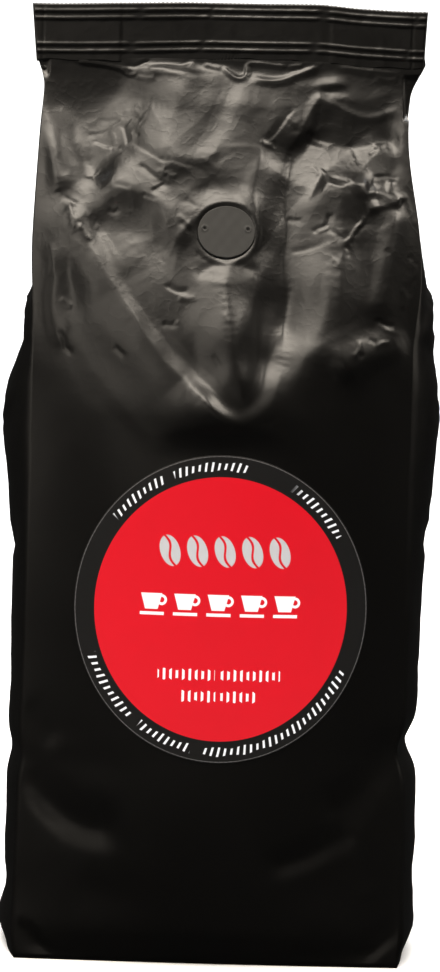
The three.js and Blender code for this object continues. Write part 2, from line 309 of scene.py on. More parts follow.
# The folds of the front panel, as they lie in the pictured bag. In a line that runs to the right, left
# is above it. In one that runs down, left is its +X side.
FRONT_FOLDS: tuple[Fold, ...] = (
    # The dark valley right of the valve, and the hollow that it runs out into.
    Fold(-4.6, 19, 11,
         ((31, 301), (27.8, 293), (26.4, 286), (23, 278), (21, 266), (20.5, 252), (20.5, 238), (20.7, 222),
          (20.6, 208), (19.2, 197), (16, 187)), 0.38, 0.07, 0.25),
    Fold(-1.0, 7, 15, ((20.8, 232), (20.8, 218), (20, 204), (17, 192)), 0.25, 0.15),
    # The shoulder: a soft round step along its left arm, and a thin one round its foot.
    Fold(2.7, 5.4, 16,
         ((-57, 261), (-51.5, 248), (-47, 240), (-38, 225.4), (-27, 209.4), (-16, 197), (-5, 186.4),
          (1, 181.8), (8, 178)), 0.13, 0.36),
    Fold(0.7, 4.8, 14,
         ((-38, 225.4), (-27, 209.4), (-16, 197), (-5, 186.4), (2, 181.2), (10, 178)), 0.3, 0.3, 0.1),
    Fold(3.2, 6, 17,
         ((-14, 195), (-4, 185), (1, 181.4), (7, 180), (12.4, 182), (16.4, 186.6), (19, 193.4), (20.6, 201),
          (21.4, 209), (22, 218)), 0.2, 0.3),
    Fold(1.0, 15, 9, ((-38, 249), (-29, 234), (-18, 218.4), (-9, 206.4), (-3, 198)), 0.25, 0.4),
    # The trunk from the valve down to the foot of the shoulder, and the broad band right of the valley.
    Fold(4.6, 9, 13,
         ((-1.4, 241), (0, 228), (1.6, 215), (3.6, 203), (6, 192), (8, 182), (9, 172)), 0.5, 0.2, 0.38),
    Fold(4.0, 30, 15, ((38, 262), (37, 242), (36, 224), (33.6, 208), (29.6, 195), (26, 186)), 0.6, 0.3, 0.3),
    # The upper left: the valley under the seal, the soft hollow down the side and the swelling's edge.
    Fold(-2.9, 12, 24,
         ((-70, 305), (-58.5, 302), (-50, 300.2), (-41, 297.6), (-27, 294), (-18.5, 294.6), (-11, 300)),
         0.2, 0.09, 0.45),
    Fold(-4.2, 24, 12,
         ((-60, 304), (-56, 296), (-53, 287), (-50, 277), (-46, 268), (-40, 258)), 0.22, 0.2, 0.35),
    Fold(2.2, 9, 4, ((-66.6, 298), (-65, 287), (-62, 275), (-59.6, 266), (-57, 256)), 0.25, 0.22),
    Fold(3.0, 19, 24, ((-15, 312), (-19, 297), (-21, 287), (-21.8, 275), (-24, 260)), 0.15, 0.09, 0.3),
    # The shelf that runs into the valve from the left, and the field below it.
    Fold(1.9, 12, 6.5,
         ((-47, 268.6), (-40, 264), (-33, 261.4), (-27, 259.8), (-22.4, 256), (-20.2, 251), (-18.6, 247),
          (-14.6, 243.8), (-10.6, 242.4)), 0.16, 0.2),
    Fold(-1.6, 9, 13, ((-50, 252.6), (-40, 248), (-28, 244.6), (-15, 239.6)), 0.25, 0.3),
    # The bright column from the seal down to the left of the valve, and the shade above the valve.
    Fold(1.0, 12, 5, ((6, 308), (3.6, 297), (0.4, 286.4), (-3, 278.4), (-9.6, 268.6)), 0.12, 0.35),
    Fold(-0.9, 12, 17, ((27, 305), (23, 296), (18, 284), (17, 268)), 0.3, 0.3),
    # The puckers below the valve.
    Fold(-0.6, 2.8, 3.2, ((-1, 238), (-4.4, 234), (-10.6, 229.4)), 0.3, 0.35),
    Fold(0.4, 3.6, 3.6, ((0.6, 239), (0.6, 233), (-0.6, 226)), 0.3, 0.35),
    Fold(-0.6, 2.4, 3.2, ((2.4, 238), (6, 234.6), (12.4, 232.4)), 0.3, 0.35),
    Fold(-1.0, 6, 5, ((-13, 262.4), (-3, 260.8), (8, 262.2)), 0.3, 0.35),
    # The upper right: the field in the shade, its left edge, the lens and the soft line in it.
    Fold(-4.0, 17, 18,
         ((24.6, 285.6), (31, 282.4), (40, 280.2), (48, 281), (56, 282.8), (62, 284.6)), 0.14, 0.05),
    Fold(1.3, 7, 3.4, ((33.4, 301), (30.2, 295.4), (29, 290), (29.4, 286), (32, 283)), 0.2, 0.2),
    Fold(0.8, 3.6, 2.0, ((27, 303.4), (34, 302.9), (43.6, 303.6)), 0.4, 0.3),
    Fold(-0.4, 1.9, 3.2, ((30, 300.7), (36, 300.5), (42.6, 301.6)), 0.4, 0.3),
    Fold(0.5, 2.2, 2.8,
         ((32.6, 298), (37.6, 294.6), (44, 292.2), (50, 291.8), (56, 293.2), (61.6, 294.2)), 0.2, 0.2),
    # The ridge down from its right end, and the dark wedge below the crumpled line.
    Fold(1.9, 9, 8, ((56.4, 283), (50.6, 277), (46, 271.5), (40.6, 264.6)), 0.18, 0.09),
    Fold(2.3, 5, 13.5, ((31.6, 267.6), (37, 265.2), (43, 265.2), (51, 266.8)), 0.2, 0.14),
    # The right side: the ridge down from the star, the soft valley beside it and the shoulder's edge.
    Fold(2.3, 6.5, 6.5,
         ((60.4, 261), (58.8, 254), (57.6, 247), (55.6, 236), (53.6, 226), (52, 215)), 0.2, 0.35),
    Fold(-0.7, 6.5, 9, ((50, 250), (49.4, 236), (48.4, 221), (46, 207)), 0.2, 0.35),
    Fold(3.3, 9, 6.5, ((36, 196), (45, 202), (50, 205.2), (57, 208.2), (65.6, 213)), 0.25, 0.3),
    Fold(0.6, 1.4, 3, ((60.6, 259.4), (58.4, 262.6), (56.2, 265), (57, 268.4)), 0.15, 0.2),
    Fold(0.8, 2.4, 2.6, ((60.6, 259.5), (54.6, 262.2), (49.4, 264.8)), 0.15, 0.14),
    Fold(0.7, 2.2, 3, ((60.6, 259.3), (54.6, 258.7), (47.6, 256.8)), 0.15, 0.14),
    # The left side's soft chain.
    Fold(1.1, 6, 4, ((-61, 245), (-58.6, 233), (-58.4, 222), (-57, 210.4), (-53, 203.4)), 0.2, 0.25),
    Fold(-0.8, 5, 5, ((-54, 240), (-53, 226), (-51, 214)), 0.3, 0.35),
    # The belly's lower end.
    Fold(-2.4, 10, 8, ((-67, 63), (-60, 57), (-52, 50.6), (-44, 46.4), (-35, 44.6), (-27, 46)), 0.2, 0.2),
    Fold(-1.2, 9, 8, ((-66, 86), (-60, 78), (-52, 69)), 0.3, 0.3),
    Fold(-2.5, 11, 9, ((34, 49.5), (40, 51.6), (47, 55.6), (54, 61.4), (60, 67.6), (67, 76)), 0.2, 0.2),
    Fold(-1.9, 7, 5.5, ((16, 35), (24, 35.4), (32, 37.6), (41, 41.6), (51, 46)), 0.2, 0.14),
    Fold(0.5, 1.6, 1.6, ((53, 63), (55, 58.5), (58, 53.5)), 0.3, 0.2),
    Fold(0.6, 3.4, 3.4, ((49, 27.4), (54, 25), (59, 24)), 0.3, 0.25),
    Fold(1.0, 9, 9, ((28, 14), (40, 17), (52, 14)), 0.3, 0.3),
    Fold(-2.0, 3, 9, ((-72, 12), (-64, 10.4), (-58, 7), (-52, 0)), 0.1, 0.1),
    Fold(-2.0, 9, 3, ((51, 0), (57, 6.4), (63, 9.6), (71, 11)), 0.1, 0.1),
    Fold(-0.8, 8, 8, ((-48, 26), (-34, 22), (-18, 24)), 0.3, 0.3),
)

# The sharp little creases: dents, cracks and gathers that break the folds.
FRONT_CREASES: tuple[Fold, ...] = tuple(Fold(*row, 0.2, 0.16) for row in (
    # Under the seal: the flap at the middle, and the gathers and arcs to both sides of it.
    (0.75, 0.8, 1.9,
     ((-3.4, 309.6), (-0.6, 307), (1.4, 305.4), (3.2, 304.9), (5, 305.8), (5.6, 308), (5.2, 311))),
    (0.4, 1.0, 1.6, ((-10, 309.8), (-6, 308.9), (-3, 308.4))),
    (0.55, 1.3, 2.2, ((-57, 309.6), (-48, 308.9), (-40, 307.6), (-33, 306))),
    (0.75, 1.5, 3.0, ((-31, 307), (-24, 307.7), (-18, 307.4), (-14.6, 309), (-12, 311))),
    (-0.5, 1.0, 1.4, ((-37.4, 309.4), (-34, 308.4), (-31, 309.6), (-28.4, 311))),
    (0.35, 0.9, 1.6, ((-38.6, 307.6), (-37.6, 305.6), (-33, 305.2))),
    (0.3, 0.9, 1.8, ((-33.6, 304.6), (-29.4, 303.8), (-26.4, 304.4))),
    (-0.3, 1.2, 1.2, ((-46, 304.6), (-38, 303.2))),
    (0.7, 1.6, 2.6, ((6.4, 305.6), (12, 304.2), (18, 304.6), (25, 307.4), (33, 310.6))),
    (0.4, 0.8, 1.2, ((5.6, 308.4), (7, 310.6), (16, 310), (21, 309.8))),
    (0.35, 0.9, 1.3, ((20, 309.6), (26, 310.4))),
    (0.35, 1.2, 2.0, ((36, 310.2), (48, 309), (62, 308))),
    (0.3, 1.2, 2.4, ((51, 306.8), (56, 306), (60, 306.6))),
    # The little star in the upper left swelling.
    (-0.3, 0.7, 2.0, ((-50.4, 282.6), (-44.6, 283.4), (-42, 285))),
    (-0.42, 2.6, 0.8, ((-48, 280.4), (-44, 278.8), (-40.4, 278.2))),
    (0.3, 0.8, 1.8, ((-47.4, 279.4), (-43.4, 277.4), (-40.8, 276.8))),
    (-0.42, 2.2, 0.8, ((-38.6, 286.4), (-37, 284.6), (-36, 281.4), (-35.2, 277.6))),
    (0.3, 0.7, 1.2, ((-42, 284.8), (-40.6, 286.2), (-38.4, 287.6), (-38.2, 289.2))),
    (0.28, 0.6, 1.0, ((-41, 276.9), (-37.6, 276.8))),
    (-0.22, 0.6, 1.2, ((-41.6, 278.2), (-37.6, 278))),
    (-0.22, 0.7, 1.4, ((-46, 288.4), (-42.6, 288), (-39.4, 288.8))),
    (0.22, 0.8, 1.4, ((-38, 290.6), (-34.6, 292), (-31, 290.6))),
    (-0.22, 0.8, 1.6, ((-36.4, 288.6), (-33.6, 289.4), (-31, 287.8))),
    (0.22, 0.9, 1.6, ((-41, 283), (-40.4, 281), (-41.4, 279.6))),
    (-0.2, 0.8, 1.4, ((-33.6, 284), (-31.4, 281.6))),
    # The two long creases right of the star.
    (-0.4, 2.6, 0.8, ((-35, 280), (-32, 278), (-28, 275.4), (-23.6, 272.8), (-20, 271))),
    (0.25, 1.0, 2.2, ((-21, 272), (-17, 270.4), (-12, 269.4))),
    (-0.6, 0.8, 2.4, ((-31, 271.4), (-27.6, 268.8), (-25, 266.4), (-22, 264.6), (-20.6, 264.9))),
    (-0.4, 2.2, 0.8, ((-21.2, 264.4), (-23.6, 262.6), (-26.4, 261))),
    (0.3, 0.8, 1.2, ((-21.6, 270.4), (-22.4, 268.4), (-21.4, 267))),
    (0.25, 0.9, 1.4, ((-21, 266.6), (-17.6, 266.8))),
    (-0.3, 1.6, 0.8, ((-40, 263.2), (-36.6, 262.8), (-33.6, 261.8))),
    (-0.3, 1.4, 0.8, ((-30, 259.6), (-27, 258.8), (-24.4, 257.4))),
    # The left edge and the crumpled top of the shoulder's left arm.
    (-0.55, 0.8, 2.0, ((-60.4, 260.6), (-57.8, 260.4), (-56, 258.6), (-53.4, 257), (-50.4, 255.6))),
    (0.5, 1.0, 2.2, ((-54.4, 257), (-53.8, 253.6), (-52.4, 251), (-50.8, 249.4))),
    (-0.35, 0.9, 0.9, ((-52.8, 253.4), (-51.6, 250.4), (-49.8, 248.4))),
    (0.4, 1.0, 2.0, ((-51, 248.8), (-48.8, 245.6), (-46.2, 242.8))),
    (0.3, 0.9, 1.4, ((-53.6, 249.8), (-52, 247))),
    (-0.3, 1.6, 0.8, ((-50, 266.4), (-47.4, 266.6), (-46, 264.6))),
    (-0.35, 0.9, 1.4, ((-41, 254.2), (-38.8, 253.4), (-37.4, 254.6))),
    # Round the valve.
    (0.25, 1.0, 1.8, ((-17, 252.8), (-14, 250.4), (-11.8, 247.8))),
    (-0.25, 0.9, 1.6, ((-16, 250.4), (-13.4, 248), (-11.4, 245.6))),
    (-0.2, 1.0, 2.0, ((-14.6, 258.6), (-12, 256.6), (-10.6, 255.4))),
    (-0.25, 1.0, 1.6, ((-10, 239.4), (-7.6, 237.6), (-5.4, 236.8))),
    # The field between the shoulder and the trunk.
    (-0.5, 2.0, 0.8, ((-20.6, 227.8), (-18, 226), (-15.4, 225), (-11.4, 225.2))),
    (0.35, 1.2, 1.8, ((-15.6, 223.4), (-12.4, 222.8), (-9.6, 223.6))),
    (0.25, 0.9, 1.4, ((0, 217.6), (1.6, 215.4), (2.6, 215.8))),
    (-0.4, 0.7, 1.6, ((-20.4, 214.4), (-17.4, 213.6), (-16, 215))),
    (0.3, 0.8, 0.8, ((-17, 213.8), (-14.8, 214.6))),
    (-0.22, 1.2, 1.0, ((-22.6, 240), (-22, 237), (-20.8, 234.8))),
    (-0.2, 1.2, 1.2, ((-3.4, 203.6), (-1.6, 200.6), (-0.8, 198.6))),
    (-0.3, 0.9, 1.6, ((-36.6, 206), (-34, 203.8), (-32.6, 202.6))),
    # The left side's soft chain.
    (0.4, 2.0, 1.0, ((-60.6, 242), (-59.4, 236), (-59.8, 230))),
    (0.45, 1.4, 1.8, ((-56, 222.6), (-53, 220.4), (-51.4, 219.4))),
    (-0.5, 1.6, 0.9, ((-56.8, 211.6), (-54.4, 208.8), (-53.6, 205.6), (-52.8, 204.8), (-50.6, 202.6))),
    # The dark diagonal and the nicks above the valley.
    (-0.5, 1.0, 2.4, ((23, 294.6), (20, 290.4), (17, 285.6), (14.4, 282.4), (11.6, 280.6))),
    (0.3, 1.0, 1.2, ((20.4, 291), (22.4, 288.6), (24, 288))),
    (0.3, 1.0, 1.4, ((11, 281.4), (13.4, 280), (15.4, 279.8))),
    (-0.3, 0.9, 0.9, ((15.6, 281.6), (16.4, 278.8))),
    (0.2, 1.4, 1.8, ((-11, 276.6), (-6, 275.6), (-3.6, 276.6))),
    (0.18, 1.6, 2.6, ((-2, 277.4), (5, 278.6), (14, 278.2))),
    # The upper right: lip, cracks and the crumpled line.
    (0.5, 0.9, 2.4, ((26, 284.6), (29.4, 282.8), (33, 281.4), (37.4, 280.6))),
    (-0.3, 1.4, 0.8, ((26.4, 282), (30, 280.6), (33.6, 279.6))),
    (-0.4, 1.6, 0.7, ((41.4, 282), (43.6, 279.4), (44.8, 276), (45.4, 273))),
    (-0.25, 0.8, 0.8, ((44, 276), (43, 273.4))),
    (-0.45, 1.8, 0.7, ((31.6, 274), (33.4, 271.6), (35, 269), (37.6, 267.6), (41, 266.8), (44, 267))),
    (0.35, 0.7, 0.9, ((32.4, 271.8), (34.6, 269.6))),
    (0.3, 0.8, 1.4, ((29.4, 273), (31, 270.8), (31.6, 269))),
    (0.35, 0.9, 1.6, ((34.6, 266.4), (38.6, 264.8), (42, 265.2))),
    (0.5, 1.2, 1.4, ((50.6, 280.6), (54, 281.8), (56, 282.6))),
    (-0.35, 0.8, 1.4, ((49, 277.6), (52.4, 280.4))),
    (-0.35, 1.2, 1.0, ((50.4, 268.6), (55, 269.6), (60, 268.6))),
    (0.4, 0.9, 1.2, ((56, 267.8), (57.6, 266.4), (57, 264.8))),
    (0.45, 1.0, 1.2, ((60.6, 264.4), (62.2, 262), (63.6, 258), (64.8, 254), (65.8, 250.4))),
    # Between the valley and the star.
    (-0.4, 1.6, 0.9, ((29.6, 248), (32.4, 249.4), (34.6, 250.2))),
    (-0.45, 1.2, 1.6, ((34.4, 250), (35.2, 252.6), (35.6, 255))),
    (0.3, 0.9, 1.0, ((31, 248.2), (33, 249), (35, 249.6))),
    (-0.35, 1.0, 1.6, ((34.6, 249.6), (37.4, 248), (39.8, 245.8))),
    (-0.35, 0.8, 2.0, ((20.8, 253.4), (23.4, 252.6), (26.4, 252.8))),
    (0.45, 1.0, 1.6, ((39.4, 244), (42.4, 246), (44.4, 249.4), (47.6, 253))),
    (-0.35, 1.0, 1.2, ((43.4, 246.2), (45.6, 249), (48.4, 252.6))),
    (0.4, 1.0, 1.0, ((44.6, 250.6), (46.4, 251.4), (47.4, 254.6))),
    (-0.35, 1.0, 1.4, ((40.6, 243.4), (42.4, 241.6), (42, 239))),
    (-0.3, 2.2, 1.0, ((21.4, 240.6), (27, 241.6), (32, 243.4), (36, 245.4))),
    (0.3, 1.0, 1.4, ((36, 238.6), (38.4, 237), (37.6, 235.4))),
    (-0.35, 0.9, 1.6, ((55, 243), (56.4, 241))),
    # The right edge, crumpled.
    (-0.55, 1.4, 1.0, ((63, 241), (64.6, 238.6), (66, 237.4))),
    (0.5, 1.0, 1.2, ((63.6, 240), (65.6, 236), (65, 232.6))),
    (-0.4, 1.0, 1.2, ((66, 234), (63.6, 230), (63.4, 226))),
    (0.45, 1.2, 1.4, ((60.4, 229.6), (62, 225.6), (60.6, 221.4))),
    # The crumpled shoulder on the right.
    (-0.6, 1.0, 2.2, ((51.4, 218.4), (54.4, 216.4), (58.6, 216))),
    (0.4, 1.2, 1.2, ((51.6, 216.6), (55.6, 214.4), (59.6, 213.4), (63.4, 214))),
    (0.55, 1.1, 1.6, ((43.4, 204), (45.6, 206.8), (45.4, 210.4))),
    (-0.45, 1.0, 1.4, ((45, 205.4), (47.6, 204.6))),
    (0.45, 1.0, 1.2, ((51.4, 207.8), (53.6, 209.6), (57, 210))),
    (-0.35, 0.9, 1.2, ((49, 211), (51.6, 209.4))),
    (-0.35, 1.2, 1.2, ((40.4, 192.6), (42, 195.6), (44, 198))),
    (-0.3, 1.2, 1.0, ((13, 180.6), (16.4, 181.6), (20, 183.6))),
    # Low down.
    (-0.4, 1.2, 2.0, ((-62, 54), (-56, 47.6), (-50, 44.6))),
    (0.4, 2.6, 1.2, ((38, 60), (46, 65.6), (52, 69))),
))

# The folds of the back panel, which the picture doesn't show: the same kinds, less crumpled.
BACK_FOLDS: tuple[Fold, ...] = (
    Fold(2.0, 15, 6,
         ((-50, 244), (-38, 224), (-22, 206), (2, 192), (26, 204), (42, 224), (50, 242)), 0.16, 0.12),
    Fold(-2.2, 10, 11, ((-33, 300), (-24, 284), (-14, 268), (-8, 244)), 0.2, 0.08),
    Fold(-2.0, 11, 9, ((36, 300), (30, 280), (32, 262), (38, 244)), 0.2, 0.08),
    Fold(-2.2, 8, 10, ((-60, 302), (-44, 297), (-28, 298)), 0.2, 0.08),
    Fold(-2.4, 9, 10, ((20, 297), (36, 294), (58, 300)), 0.2, 0.08),
    Fold(1.4, 7, 8, ((12, 286), (14, 262), (10, 236)), 0.25, 0.1),
    Fold(1.3, 6, 7, ((-56, 262), (-50, 246), (-44, 236)), 0.2, 0.1),
    Fold(-2.2, 10, 9, ((28, 42), (44, 52), (64, 72)), 0.18, 0.08),
    Fold(-1.8, 9, 9, ((-64, 58), (-48, 48), (-32, 44)), 0.18, 0.08),
    Fold(-0.7, 1.6, 1.8, ((-40, 270), (-33, 266), (-27, 260))),
    Fold(0.7, 1.8, 1.8, ((42, 282), (46, 274), (43, 266))),
    Fold(-0.6, 1.6, 1.6, ((20, 222), (27, 226), (33, 224))),
    Fold(-0.7, 1.6, 1.6, ((-22, 232), (-16, 228), (-9, 229))),
    Fold(-1.1, 12, 12, ((-30, 130), (-8, 118), (22, 124)), 0.3, 0.3),
)

# The folds of a gusset, with the place across it (+ towards the back) in the place of x.
GUSSET_FOLDS: tuple[Fold, ...] = (
    Fold(1.6, 5, 6, ((-21, 212), (-12, 223), (0, 233)), 0.15, 0.08),
    Fold(1.6, 5, 6, ((0, 233), (12, 222), (21, 210)), 0.15, 0.08),
    Fold(-1.6, 6, 6, ((-20, 150), (-4, 143), (12, 149)), 0.3, 0.15),
    Fold(-1.2, 5, 6, ((18, 110), (4, 98), (-10, 96)), 0.3, 0.1),
    Fold(-1.3, 6, 6, ((-18, 30), (0, 24), (18, 33)), 0.3, 0.12),
    Fold(0.8, 3, 3, ((-10, 196), (-2, 184), (1, 170)), 0.3, 0.12),
    Fold(0.8, 3, 4, ((14, 196), (10, 180), (14, 166)), 0.3, 0.12),
)


def mesh_piece(name: str, points: Array, faces: Sequence[Array]) -> bpy.types.Object:
    """Puts a worked-out surface into a smooth-shaded mesh object at the origin.

    Args:
        name: The object's name.
        points: The corners, one to a row, in millimetres.
        faces: Arrays of corner numbers, one face to a row, anticlockwise seen from outside.

    Returns:
        The new object, linked to the scene.
    """
    mesh = bpy.data.meshes.new(name)
    mesh.vertices.add(len(points))
    mesh.vertices.foreach_set("co", (points * MM).astype(np.float32).ravel())
    corners = np.concatenate([f.ravel() for f in faces]).astype(np.int32)
    sizes = np.concatenate([np.full(len(f), f.shape[1]) for f in faces])
    starts = np.concatenate(([0], np.cumsum(sizes)[:-1])).astype(np.int32)
    mesh.loops.add(len(corners))
    mesh.loops.foreach_set("vertex_index", corners)
    mesh.polygons.add(len(sizes))
    mesh.polygons.foreach_set("loop_start", starts)
    mesh.update(calc_edges=True)
    mesh.polygons.foreach_set("use_smooth", np.ones(len(sizes), bool))
    piece = bpy.data.objects.new(name, mesh)
    bpy.context.scene.collection.objects.link(piece)
    return piece


def ring_faces(rows: int, columns: int, first: int = 0) -> Array:
    """The four-sided faces of a tube made of rings, each ring anticlockwise seen from its far end.

    Args:
        rows: The number of rings.
        columns: The corners in each ring.
        first: The number of the first ring's first corner.

    Returns:
        One face to a row.
    """
    j, i = np.meshgrid(np.arange(rows - 1), np.arange(columns), indexing="ij")
    a = first + j * columns + i
    b = first + j * columns + (i + 1) % columns
    return np.stack((a, b, b + columns, a + columns), -1).reshape(-1, 4)


def fan(ring: Array, middle: int, outward: bool) -> Array:
    """The triangles from a ring of corners to one corner in its middle.

    Args:
        ring: The corner numbers round the ring.
        middle: The number of the middle corner.
        outward: Whether the ring runs anticlockwise seen from the side that the fan faces.

    Returns:
        One triangle to a row.
    """
    after = np.roll(ring, -1)
    center = np.full(len(ring), middle)
    return np.stack((ring, after, center) if outward else (after, ring, center), -1)


def stack_faces(rows: int, columns: int) -> tuple[Array, Array]:
    """The faces of a stack of equal rings that a fan closes at each end.

    The middle corners of the first ring's fan and of the last ring's fan come after all the rings.

    Args:
        rows: The number of rings.
        columns: The corners in each ring.

    Returns:
        The four-sided faces between the rings, and the triangles of the two fans.
    """
    ring, middle = np.arange(columns), rows * columns
    caps = (fan(ring, middle, False), fan(ring + middle - columns, middle + 1, True))
    return ring_faces(rows, columns), np.concatenate(caps)


@dataclass(frozen=True)
class Dent:
    """A dent across one side of the bag: its height, its reach, its depths and its climb to the back."""

    middle: float
    reach: float
    crease_depth: float
    gusset_depth: float
    climb: float


@dataclass(frozen=True)
class Recess:
    """Where the front's edge is drawn back under one side of the seal."""

    start: float
    low: float
    high: float


@dataclass
class BagForm:
    """The shape of the filled bag: its sections, and the folds of its film."""

    height: float = 332.0
    seal_height: float = 20.0
    half_depth: float = 45.5
    half_width: float = 77.0
    corner_width: float = 65.0
    corner_depth: float = 27.0
    base_half_depth: float = 37.5
    gusset_half_length: float = 37.5
    seal_half_width: float = 69.5
    seal_half_thickness: float = 1.0
    shoulder: float = 182.0
    pocket_apex: float = 233.0
    pocket_full: float = 253.0
    recess_end: float = 66.0
    recess_share: float = 0.9
    valve: Pair = (0.0, 247.0)
    valve_radius: float = 10.0
    valve_margin: float = 1.4
    rim_height: float = 0.14
    rim_offset: float = 1.2
    rim_width: float = 0.8
    seat_depth: float = 0.25
    seat_lean: float = 0.052
    seat_reach: float = 9.0
    label: Pair = (1.6, 119.3)
    label_half: Pair = (49.3, 50.9)
    label_margin: float = 7.0
    least_room: float = 0.3
    lap_height: float = 0.45
    gusset_crease: float = 0.6
    gusset_crease_reach: float = 2.4

    def __post_init__(self) -> None:
        """Works out the curves along the height that all the sections follow."""
        self.neck = self.height - self.seal_height - 1.0
        depth, corner, width = self.half_depth, self.corner_depth, self.corner_width
        self.middle = Profile(
            (0, self.base_half_depth), (12, depth - 3.5), (60, depth), (150, depth),
            (self.shoulder, depth - 1.2), (203, 39.4), (247, 25), (self.neck - 18, 7.2),
            (self.neck, self.seal_half_thickness),
        )
        self.corner = Profile(
            (0, self.base_half_depth - 1), (25, 33.5), (70, 28.5), (110, corner), (196, corner),
            (232, 22), (275, 10.5), (self.neck, self.seal_half_thickness),
        )
        seal = ((self.neck, self.seal_half_width - 0.5), (self.neck + 1, self.seal_half_width))
        self.width = {
            Side.LEFT: Profile((0, width - 0.5), (12, width), (205, width), (246, width + 2),
                               (284, width + 1.6), (300, width + 1.1), *seal),
            Side.RIGHT: Profile((0, width - 1), (12, width), (205, width), (234, width + 2.6),
                                (246, width + 2.1), (284, width - 1.8), (300, width - 0.8), *seal),
        }
        full = self.half_width - width
        self.swell = {
            Side.LEFT: Profile((0, 6.2), (7, 8.8), (20, 7.4), (120, 7.4), (187, full), (214, 5),
                               (self.pocket_apex, 1.5)),
            Side.RIGHT: Profile((0, 4.6), (9, 8.0), (20, 7.6), (110, 7.6), (190, full), (214, 9),
                                (self.pocket_apex, 4)),
        }
        self.dents = {Side.LEFT: Dent(66.0, 5.0, 0.8, 1.0, 6.0), Side.RIGHT: Dent(71.0, 7.0, 2.4, 3.4, 9.0)}
        self.recesses = {Side.LEFT: Recess(64.2, 303.0, 311.5), Side.RIGHT: Recess(61.2, 290.0, 308.5)}

    def recess(self, side: Side, z: Array) -> Array:
        """The share of its depth that the front's edge is drawn back by, with a ramp at both ends."""
        low, high = self.recesses[side].low, self.recesses[side].high
        return self.recess_share * ease(z, low, low + 4.0) * ease(high - z, 0.0, 2.4)

    def drawn_back(self, x: Array, z: Array) -> Array:
        """The depth that the recesses take from the front film: a steep step, then a slope to the edge.

        Args:
            x: The places' distances to the right of the middle.
            z: The places' heights.

        Returns:
            The depth, in the shape of x.
        """
        depth = np.zeros_like(x)
        for side, place in self.recesses.items():
            out = x * side.value - place.start
            slope = np.clip(out / (self.recess_end - place.start), 0.0, 1.0)
            step = 0.6 * ease(out, 0.0, 1.0) + 0.4 * slope
            depth += self.recess(side, z) * self.corner(z) * np.where(out > 0.0, step, 0.0)
        return depth

    def dent(self, side: Side, z: Array, back: Array) -> Array:
        """How strong a side's dent is: a bell over the height, which climbs and fades to the back.

        Args:
            side: The gusset.
            z: The heights.
            back: The place across the gusset, from 0 at the front crease to 1 at the back one.

        Returns:
            The share of the dent's depth.
        """
        dent = self.dents[side]
        return np.exp(-(((z - dent.middle - dent.climb * back) / dent.reach) ** 2)) * (1.0 - 0.75 * back)

    def corner_x(self, side: Side, z: Array) -> Array:
        """How far the corner creases of a side stand from the middle plane."""
        return self.width[side](z) - self.dents[side].crease_depth * self.dent(side, z, np.zeros_like(z))

    def away(self, x: Array, z: Array, center: Pair, radius: float, power: float) -> Array:
        """0 near a round spot where the film lies smooth and 1 away from it: 1 - exp(-(r/radius)^power)."""
        return 1.0 - np.exp(-((np.hypot(x - center[0], z - center[1]) / radius) ** power))

    def loose(self, x: Array, z: Array) -> Array:
        """How free the front film is to fold, from 0 to 1: not round the valve, nor under the label."""
        valve = self.away(x, z, self.valve, self.valve_radius + self.valve_margin, 10.0)
        return valve * self.away(x, z, self.label, self.label_half[1] + self.label_margin, 30.0)

    def crumple(self, x: Array, z: Array) -> Array:
        """The faceted crumple of a panel: more of it high up and in a few patches, little on the belly.

        Args:
            x: The places' distances to the right of the middle.
            z: The places' heights.

        Returns:
            The lift, in the shape of x.
        """
        high = ease(z, 196.0, 250.0) * ease(self.neck + 4.0 - z, 0.0, 14.0)
        most, low = patches(HIGH_PATCHES, x, z), patches(LOW_PATCHES, x, z)
        broad = BROAD_FACETS.rise(x, z) * (0.2 + 0.8 * high + 0.5 * low)
        fine = FINE_FACETS.rise(x, z) * (0.05 + 0.25 * high + 0.8 * most + 0.4 * low)
        small = SMALL_FACETS.rise(x, z) * (0.05 * high + 0.7 * np.minimum(most, 1.0))
        return broad + fine + small

    def arch(self, x: Array, z: Array, edge: Array) -> Array:
        """The plain depth of a panel: full in the middle, and less by (x/edge)^2 to the corner crease."""
        middle, corner = self.middle(z), self.corner(z)
        return middle - (middle - corner) * (x / edge) ** 2

    def edge_at(self, x: Array, z: Array) -> Array:
        """The corner crease's distance from the middle plane on the side where x lies."""
        return np.where(x < 0, self.corner_x(Side.LEFT, z), self.corner_x(Side.RIGHT, z))

    def front(self, x: Array, z: Array) -> Array:
        """The front film's distance in front of the middle plane: arch, folds, creases and crumple.

        Args:
            x: The places' distances to the right of the middle.
            z: The places' heights.

        Returns:
            The distance, in the shape of x.
        """
        edge = self.edge_at(x, z)
        wander = 0.3 * np.sin(0.31 * z + 0.17 * x) + 0.2 * np.sin(0.53 * x - 0.23 * z + 1.0)
        wx, wz = x + wander, z + 0.4 * np.sin(0.27 * x + 0.9) * ease(z, 0.0, 20.0)
        folds = total_rise(FRONT_FOLDS, wx, wz) * ease(self.neck + 1.0 - z, 0.0, 7.0)
        creases = total_rise(FRONT_CREASES, x, z) * ease(self.neck + 1.5 - z, 0.0, 2.5)
        creases = creases * (0.7 + 0.3 * ease(z, 296.0, 303.0))
        lift = folds + creases + self.crumple(x, z) * ease(self.neck + 1.0 - z, 0.0, 6.0)
        lift = lift * ease(z, 0.0, 5.0) * (1.0 - np.abs(x / edge) ** 12)
        plain = self.arch(x, z, edge) - self.drawn_back(x, z)
        room = self.room(x, z, edge, plain)
        lift = np.maximum(lift, 0.0) + room * np.tanh(np.minimum(lift, 0.0) / room)
        return plain + lift * self.loose(x, z) + self.valve_seat(x, z)

